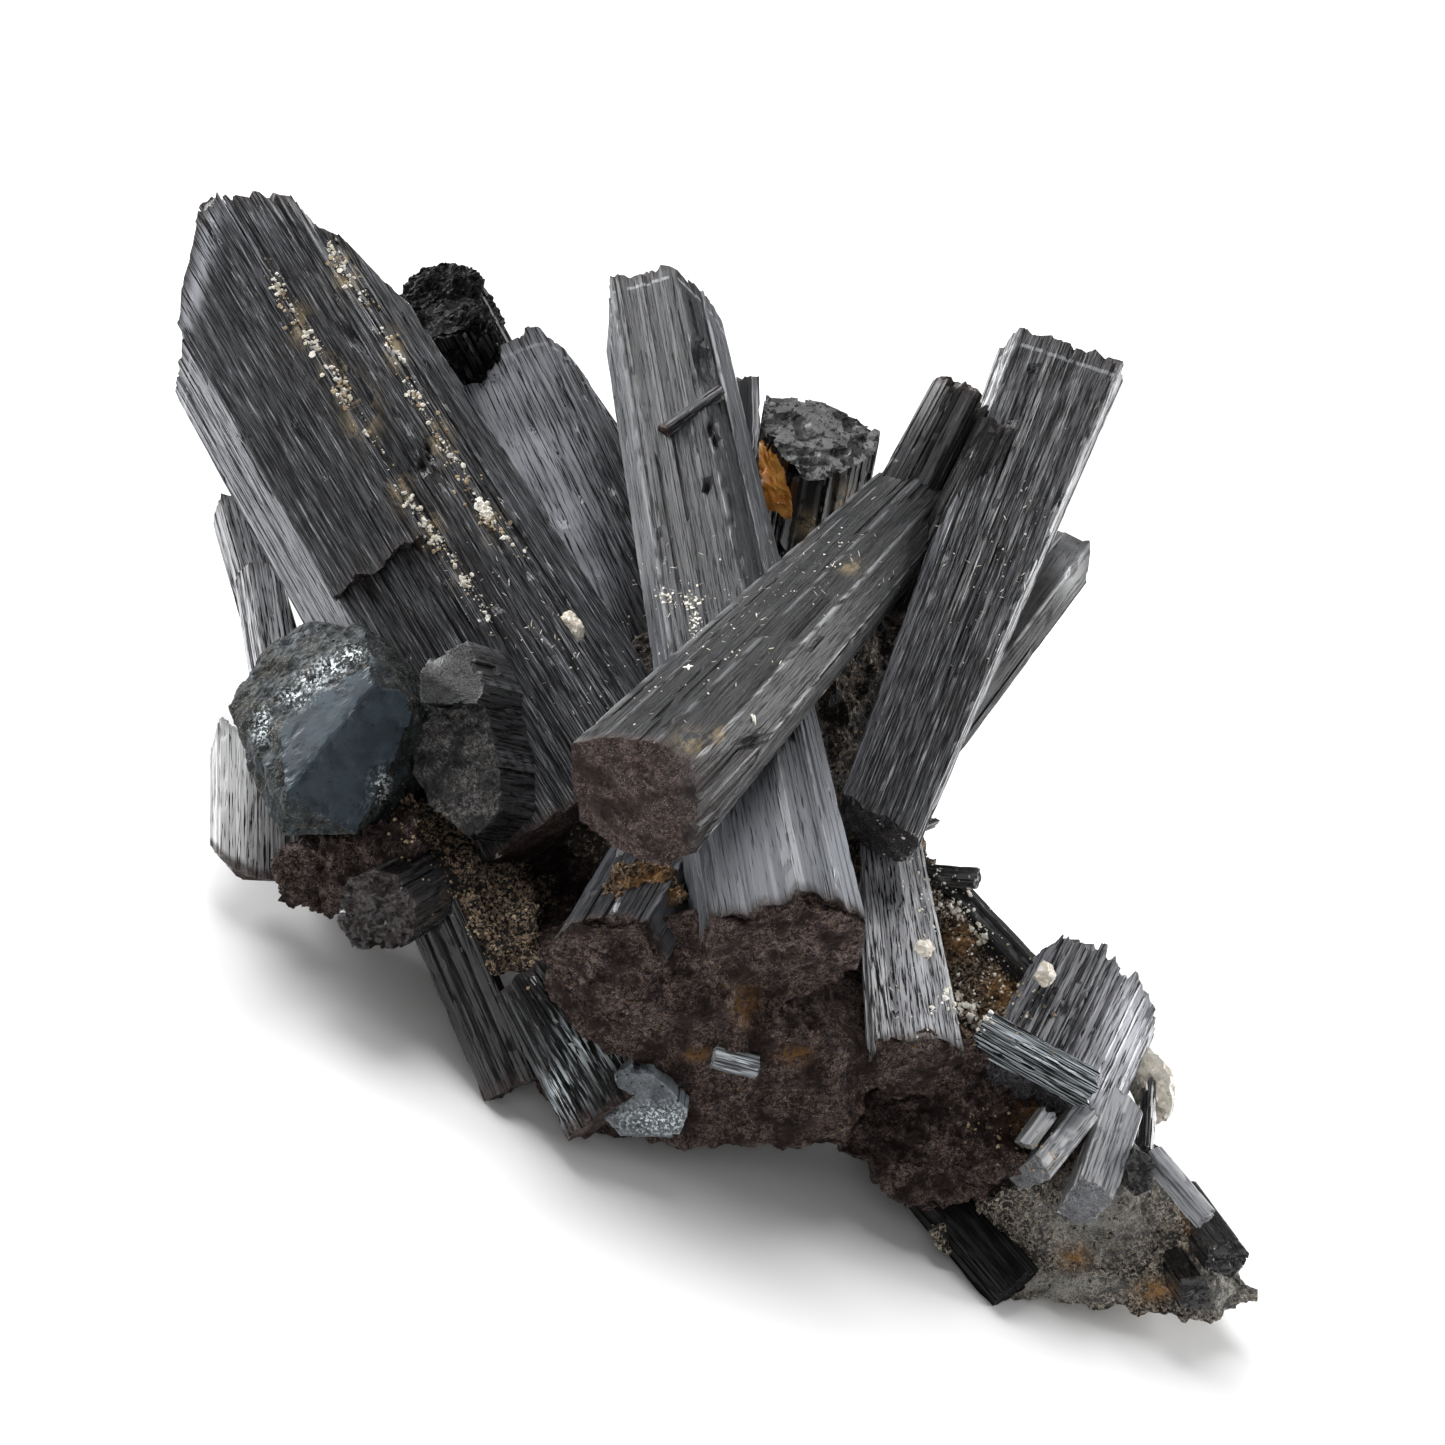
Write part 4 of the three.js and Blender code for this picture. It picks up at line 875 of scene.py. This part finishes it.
# Its silver spots are painted glints.
crystal("left_low_ribbed", (-7.7, -24.2, 8), (-13, -15.7, 5.2), [(-1.9, 0), (-0.8, 1.3), (2, 1.5),
    (4.4, 0.3), (3.5, -2.5), (-1.2, -2.5)], schorl_black, narrow=0.6, rib=0.2, deep=0.1, ring=0.5,
    silver=((596, 1038, 34, 28), (560, 1090, 22, 26)))
# Its silver spot is a painted glint on the facet.
crystal("root_facet", (-4.3, -22.9, 9), (-4, -18, -6), [(-2.3, 1.6, 0, 0.8), (-1.2, 2.4, 0, 1),
    (0.3, 2, 0, 0.4), (2.4, -0.2), (1.8, -2.1), (-1.8, -2.1), (-3, -1.1, 0, 0.8)], schorl_steel,
    end_on=True, near_end=("broken", 1.4, 0.25, 0.0), ring=0.6, cell=0.2, silver=((660, 1120, 34, 14),))
# Its silver spot is a painted glint.
crystal("bright_fragment", (-0.7, -19.9, 8.6), (2.2, -20.7, 8.2), [(-0.8, 0.1), (-0.5, 0.6), (0.5, 0.5),
    (0.8, 0), (0.4, -2.4), (-0.4, -2.4)], schorl_pale, silver=((734, 1060, 30, 18),), rib=0.25, deep=0.05,
    ring=0.4, chips=0.15, far_end=("broken", 0.5, 0.3, 0.1), near_end=("broken", 0.5, 0.3, 0.1), cell=0.2)

# The lower right.
# Broken schorl held by the granular lobe: a ribbed fragment with a torn top, a small glossy crystal that lies
# across in front of it, thin pale slabs, black stubs, and the small crystals that stick out of the lobe.
# Its pale spots are painted sheen.
crystal("ribbed_fragment", (20.4, -23.8, 0), (25.3, -15.8, -6.4), [(-5.1, -0.5, 2.6, 1.4), (-4.2, 1.6, 0.6),
    (-1, 2.2), (3.4, 1.3, 1), (4.6, -0.8, 2.4, 3), (3, -2.8, 1), (-3.5, -2.8, 0.6)], schorl_fragment,
    pale=((1128, 1035, 28, 60), (1098, 1100, 28, 40)), rib=0.2, deep=0.12, ring=0.5, run=3.0,
    far_end=("columns", 0.45, 1.1, 0.1), near_end=("columns", 0.6, 0.8, 0.2))
crystal("small_across", (15.8, -18.9, 2.2), (23, -22.8, 3.8), [(-1.4, 0, 0.4), (-0.6, 1.3), (0.8, 1.3),
    (1.5, 0.1, 0.6, 1.4), (0.6, -3, 1.4, 0.8), (-0.8, -3, 1.4)], schorl_lined, rib=0.18, deep=0.09,
    ring=0.4, near_end=("broken", 0.8, 0.2, 0.0), far_end=("columns", 0.4, 0.5, 0.1))
SLABS = [
    ("slab_1", (18.6, -26, 4), (20.3, -23.8, 3.6), [(-0.6, 0), (0.1, 0.3), (0.5, 0), (0.2, -4), (-0.3, -4)]),
    ("slab_2", (19.3, -27.4, 5), (22.7, -23.8, 2.4),
     [(-0.9, 0.1, 0, 0.5), (0.1, 0.5, 0, 0.2), (0.8, 0.2), (0.6, -4), (-0.6, -4)]),
    ("slab_3", (22.6, -28.8, 4.4), (25.2, -23.3, 0),
     [(-1.2, 0.2, 0, 0.6), (0, 0.6, 0, 0.2), (1.4, 0.3, 0.8), (1.2, -4), (-1, -4)]),
    ("lobe_slab", (26.5, -26.6, 1.4), (29.8, -30.6, 3),
     [(-0.8, 0), (0, 0.8), (0.9, 0.1), (0.6, -2), (-0.6, -2)]),
]
for name, near, far, section in SLABS:
    crystal(name, near, far, section, schorl_pale, rib=0.35, deep=0.03, ring=0.4, run=2.0, chips=0.15,
            far_end=("columns", 0.3, 0.4, 0.1), near_end=("columns", 0.5, 0.25, 0.1), cell=0.2)
BLACK_STUBS = [
    ("stub_by_quartz", (26.7, -27, -1.4), (27.4, -22.4, -4.4), False,
     [(-0.6, 0), (0, 0.6), (0.6, 0), (0.4, -2.6), (-0.4, -2.6)]),
    ("glossy_end", (25.6, -27.4, 3.4), (25, -27, -4), True,
     [(-0.9, 0.2), (0, 1.2), (1, 0.5), (0.9, -1.3), (-0.3, -1.8)]),
    ("stub_upper", (11.4, -9.6, -5), (16.4, -9.9, -3.6), False,
     [(-0.8, 0), (-0.3, 0.75), (0.5, 0.7), (0.8, 0), (0.3, -0.75), (-0.5, -0.7)]),
    ("prism_speckled", (20.5, -17, -5.4), (14.2, -10.3, -7), False,
     [(-1.1, 0), (-0.4, 1.1), (0.8, 0.8), (1.2, -0.4), (0.4, -1.6), (-0.9, -1.4)]),
    ("stub_green", (10.8, -7.4, -5), (13.8, -6.4, -7.6), False, [(-0.5, 0), (0, 0.6), (0.5, 0), (0, -0.9)]),
    ("lobe_black", (18.2, -35.2, 1.6), (12.4, -28.6, -2), False,
     [(-1.9, 0.2), (-0.6, 2), (1.3, 1.5), (2, -0.6), (0, -2.4), (-1.7, -1.6)]),
    ("lobe_end_right", (31.4, -33.4, 0.6), (30, -31, -8), True,
     [(-1.4, -0.8), (-1.2, 0.9), (0.6, 1.4), (1.6, 0.2), (0.8, -1.5)]),
    ("lobe_end_left", (29.3, -35.4, 1.4), (28, -33, -7), True,
     [(-1, -1), (-1.1, 0.9), (0.4, 1.2), (1.2, 0), (0.6, -1.3)]),
]
# The stubs carry a painted silver glint, and the black one in the lobe uses the near-black schorl with its
# reflection turned down, partly painted shade.
for name, near, far, end_on, section in BLACK_STUBS:
    made_of = schorl_shaded if name == "lobe_black" else schorl_black
    crystal(name, near, far, section, made_of, end_on=end_on, rib=0.22, deep=0.05, ring=0.4, chips=0.12,
            cell=0.2, silver=((1035, 1220, 22, 16),), frost=0.3, far_end=("columns", 0.4, 0.3, 0.2),
            near_end=("broken", 0.6, 0.25, 0.1))

# The crystals at the back.
# Plain schorl prisms that lean out of the back of the root. The camera doesn't see them, so their number and
# their places are guessed.
BACK_SECTION = [(-1, 0.1), (-0.45, 0.8), (0.55, 0.85), (1, 0), (0.5, -0.8), (-0.6, -0.75)]
BACK = [  # near end, far end and half width, all in mm
    ((-4, 8, -13), (-15, 30, -3), 3.4), ((2, 8, -13), (0, 30, -1), 3.6),
    ((8, 6, -14), (13, 27, -12), 2.4), ((-8, 5, -13), (-23, 19, -10), 2.6),
    ((13, 5, -19), (22, 15, -19), 1.9), ((-2, 12, -17), (-9, 29, -13), 2.4),
    ((6, 12, -17), (9, 28, -15), 2.3),
]
for number, (near, far, half) in enumerate(BACK):
    section = [(a * half, t * half) for a, t in BACK_SECTION]
    made_of = schorl_deep if number % 2 else schorl_grey
    crystal(f"back_{number + 1}", near, far, section, made_of, base=UPRIGHT,
            far_end=("columns", 0.6, 0.7, 0.4))

# The grains of other minerals.
# An orange-brown iron-stained grain, a clear pale quartz grain and three cream feldspar grains, each set
# loosely in a hollow between the crystals.
def mineral(name, first, second, rough, size, glassy=0.0):
    """A grain's material: two mottled tones, uneven gloss, fine relief."""
    made, tree, surface = bare(name)
    own = millimetres(tree)
    clouds = clouded(tree, own, size, 5.0, 0.65, 0.4)
    fine = clouded(tree, own, size * 4, 3.0)
    feed(tree, surface, Base_Color=blend(tree, ramp(tree, clouds, 0.35, 0.65), first, second), IOR=1.54,
         Roughness=ramp(tree, fine, 0.3, 0.7, rough * 0.7, rough * 1.4), Transmission_Weight=glassy,
         Normal=bumped(tree, fade(tree, 0.4, clouds, fine), 0.0001, 0.7))
    return made


amber = mineral("iron_stained_grain", rgb(0.55, 0.19, 0.03), rgb(0.85, 0.42, 0.1), 0.22, 0.9)
quartz = mineral("clear_quartz", rgb(0.62, 0.56, 0.46), rgb(0.8, 0.76, 0.68), 0.22, 0.6, glassy=0.35)
feldspar = mineral("cream_feldspar", rgb(0.62, 0.54, 0.42), rgb(0.88, 0.85, 0.78), 0.5, 1.6)
FACETS = 16
LUMPY = 0.175  # share of the grain's size


def lump(name, centre, half, turn, material, node):
    """An angular grain: a ball pushed to flat facets, a little uneven."""
    form = bmesh.new()
    bmesh.ops.create_icosphere(form, subdivisions=4, radius=1)
    rng = np.random.default_rng(sum(name.encode()))
    ways = rng.normal(size=(FACETS, 3))
    ways /= np.linalg.norm(ways, axis=1)[:, None]
    cuts = rng.uniform(0.62, 0.96, FACETS)
    spin = Matrix.Rotation(math.radians(turn), 3, "Z")
    for corner in form.verts:
        way = corner.co.normalized()
        reach = min([0.98] + [c / d for c, d in zip(cuts, ways @ way) if d > 0.3])
        reach += LUMPY * (noise.fractal(way * 2.3 + Vector((turn, 0, 0)), 0.8, 2.2, 4) - 0.2)
        shaped = spin @ Vector([way[k] * reach * half[k] for k in range(3)])
        corner.co = (shaped + Vector(centre)) * MM
    mesh = bpy.data.meshes.new(name)
    form.to_mesh(mesh)
    form.free()
    return keep(name, mesh, STAND @ IN_METRES, material, node)


lump("grain_orange", (4.0, 16.1, -14.4), (1.55, 3.4, 1.35), 20, amber, "orange_grain")
lump("grain_quartz", (27.4, -23.4, -4.6), (1.6, 2.6, 1.6), 12, quartz, "quartz_grain")
lump("grain_feldspar_left", (-9.6, 6, -3.5), (0.85, 1.15, 0.8), 10, feldspar, "feldspar_grain_left")
lump("grain_feldspar_front", (12.5, -14.1, 1.8), (0.8, 0.7, 0.6), 20, feldspar, "feldspar_grain_front")
lump("grain_feldspar_right", (20.3, -15.9, -1.4), (0.85, 1, 0.7), -20, feldspar, "feldspar_grain_right")

# The crumbs.
# Small crumbs of feldspar and tan rock caught in the grooves of the crystals, fine white chips, and a few
# slivers, each resting on the surface that carries it.
cream_crumb = mineral("cream_crumbs", rgb(0.62, 0.56, 0.44), rgb(0.93, 0.91, 0.85), 0.6, 1.2)
tan_crumb = mineral("tan_crumbs", rgb(0.26, 0.18, 0.1), rgb(0.5, 0.4, 0.27), 0.7, 1.2)
all_spots, all_faces = [], []
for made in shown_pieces():
    if made.type == "MESH":
        start = len(all_spots)
        all_spots += [corner.co.copy() for corner in made.data.vertices]
        all_faces += [tuple(start + k for k in face.vertices) for face in made.data.polygons]
skin = BVHTree.FromPolygons(all_spots, all_faces)
STAND_EYE = STAND @ Vector((0, 0, EYE))


def surface_at(x, y):
    """Place and facing of the surface that shows at a picture pixel."""
    way = STAND @ Vector(((x - PICTURE / 2) / FOCUS, (PICTURE / 2 - y) / FOCUS, EYE - 1)) - STAND_EYE
    return skin.ray_cast(STAND_EYE, way.normalized())[:2]


def crumbs(name, routes, count, sizes, material, spread=6.0, flat=0.7, sliver=1.0, heaps=0.75):
    """Crumbs along routes of picture pixels: count in all, sizes from and to in millimetres. Flat presses
    each crumb, sliver draws it out, and heaps is the share of them that lies close to another."""
    rng = np.random.default_rng(sum(name.encode()))
    form = bmesh.new()
    lengths = [sum(math.dist(a, b) for a, b in zip(route, route[1:])) + 1 for route in routes]
    middles = []
    for _ in range(count):
        if middles and rng.random() < heaps:
            x, y = middles[int(len(middles) * rng.random() ** 1.6)]
        else:
            route = routes[rng.choice(len(routes), p=np.array(lengths) / sum(lengths))]
            k = int(rng.integers(0, max(1, len(route) - 1)))
            begin, end = route[k], route[min(k + 1, len(route) - 1)]
            share = rng.random()
            x = begin[0] + (end[0] - begin[0]) * share
            y = begin[1] + (end[1] - begin[1]) * share
            middles.append((x, y))
        x += rng.normal() * spread * 0.5
        y += rng.normal() * spread * 0.5
        spot, facing = surface_at(x, y)
        if spot is None:
            continue
        size = sizes[0] + (sizes[1] - sizes[0]) * rng.random() ** 2.2
        turn = facing.to_track_quat("Z", "Y").to_matrix() @ Matrix.Rotation(rng.uniform(0, 6.28), 3, "Z")
        made = bmesh.ops.create_icosphere(form, subdivisions=1, radius=1)
        for corner in made["verts"]:
            push = corner.co * (0.45 + 0.85 * rng.random()) * size * MM
            push = Vector((push.x * sliver, push.y, push.z * flat))
            corner.co = spot + turn @ push + facing * size * MM * 0.15
    mesh = bpy.data.meshes.new(name)
    form.to_mesh(mesh)
    form.free()
    return keep(name, mesh, Matrix.Identity(4), material)


crumbs("crumbs_in_grooves", [GROOVE_LEFT, GROOVE_RIGHT], 700, (0.035, 0.24), cream_crumb, spread=7)
crumbs("tan_in_grooves", [GROOVE_LEFT, GROOVE_RIGHT], 320, (0.04, 0.2), tan_crumb, spread=10)
SLOPES = [
    [(590, 700), (740, 600), (870, 530)], [(620, 720), (780, 620)], [(700, 640), (860, 560)],
    [(960, 640), (1040, 480)], [(640, 560), (690, 640)], [(450, 560), (590, 700)], [(880, 950), (930, 1010)],
]
crumbs("white_specks", SLOPES, 240, (0.025, 0.1), cream_crumb, spread=44, heaps=0.3)
crumbs("white_lint", SLOPES, 150, (0.018, 0.04), cream_crumb, spread=54, sliver=9.0, heaps=0.2, flat=1.0)
crumbs("white_slivers", [[(490, 815)], [(498, 856)], [(753, 718)], [(688, 668)], [(472, 640)]], 6,
    (0.09, 0.13), cream_crumb, spread=3, sliver=5.0, heaps=0.0)
crumbs("patch_by_ridge", [[(690, 590), (697, 630)], [(665, 595), (668, 600)]], 120, (0.03, 0.16),
    cream_crumb, spread=9, flat=0.4)
crumbs("crumbs_low_right", [[(945, 985), (985, 1030)], [(955, 900), (1000, 960)], [(1045, 975),
    (1055, 965)]], 160, (0.05, 0.3), cream_crumb, spread=16)
crumbs("tan_low", [[(400, 800), (470, 900), (520, 950)], [(990, 950), (1030, 1030)], [(960, 1120),
    (1080, 1180)]], 520, (0.03, 0.16), tan_crumb, spread=30, heaps=0.5)
crumbs("white_low_right", [[(930, 870), (985, 960), (1020, 1010)], [(900, 830), (940, 930)]], 260,
    (0.03, 0.16), cream_crumb, spread=26, heaps=0.5)

# The floor, the lights and the camera.
# A pale surface under the cluster, broad soft lights, and the camera at the picture's angle.
FLOOR = 6  # m
bpy.ops.mesh.primitive_plane_add(size=FLOOR, location=(0, 0, 0))
floor = bpy.context.object
floor.name = "floor"
pale_floor, tree, surface = bare("pale_floor")
feed(tree, surface, Base_Color=rgb(0.93, 0.93, 0.93), Roughness=0.9)
floor.data.materials.append(pale_floor)

AIM = Vector((0, 0, 0.02))  # m, the point that the lights face
LIGHTS = [
    # name, place (m), size (m), watts
    ("left", (-1.3, 0.6, 0.4), 1.0, 38.0),
    ("right", (1.3, 0.6, 0.45), 1.0, 26.0),
    ("above", (-0.55, 0.25, 1.4), 0.9, 18.0),
    ("front", (-0.3, -1.5, 0.9), 1.2, 5.0),
]
for name, place, size, watts in LIGHTS:
    lamp = bpy.data.lights.new(name, "AREA")
    lamp.size = size
    lamp.energy = watts
    lit = bpy.data.objects.new(name, lamp)
    lit.location = place
    lit.rotation_euler = (AIM - Vector(place)).to_track_quat("-Z", "Y").to_euler()
    bpy.context.scene.collection.objects.link(lit)
world = bpy.data.worlds.new("pale_room")
world.use_nodes = True
feed(world.node_tree, world.node_tree.nodes["Background"].inputs, Color=rgb(1, 1, 1), Strength=0.22)
bpy.context.scene.world = world
bpy.context.scene.view_settings.view_transform = "Standard"

SENSOR = 36  # mm
lens = bpy.data.cameras.new("camera")
lens.sensor_width = SENSOR
lens.lens = SENSOR * FOCUS / PICTURE
lens.clip_start = 0.01
camera = bpy.data.objects.new("camera", lens)
turned = (STAND @ IN_METRES).to_3x3().to_4x4()
camera.matrix_world = Matrix.Translation(STAND_EYE) @ turned
bpy.context.scene.collection.objects.link(camera)
bpy.context.scene.camera = camera
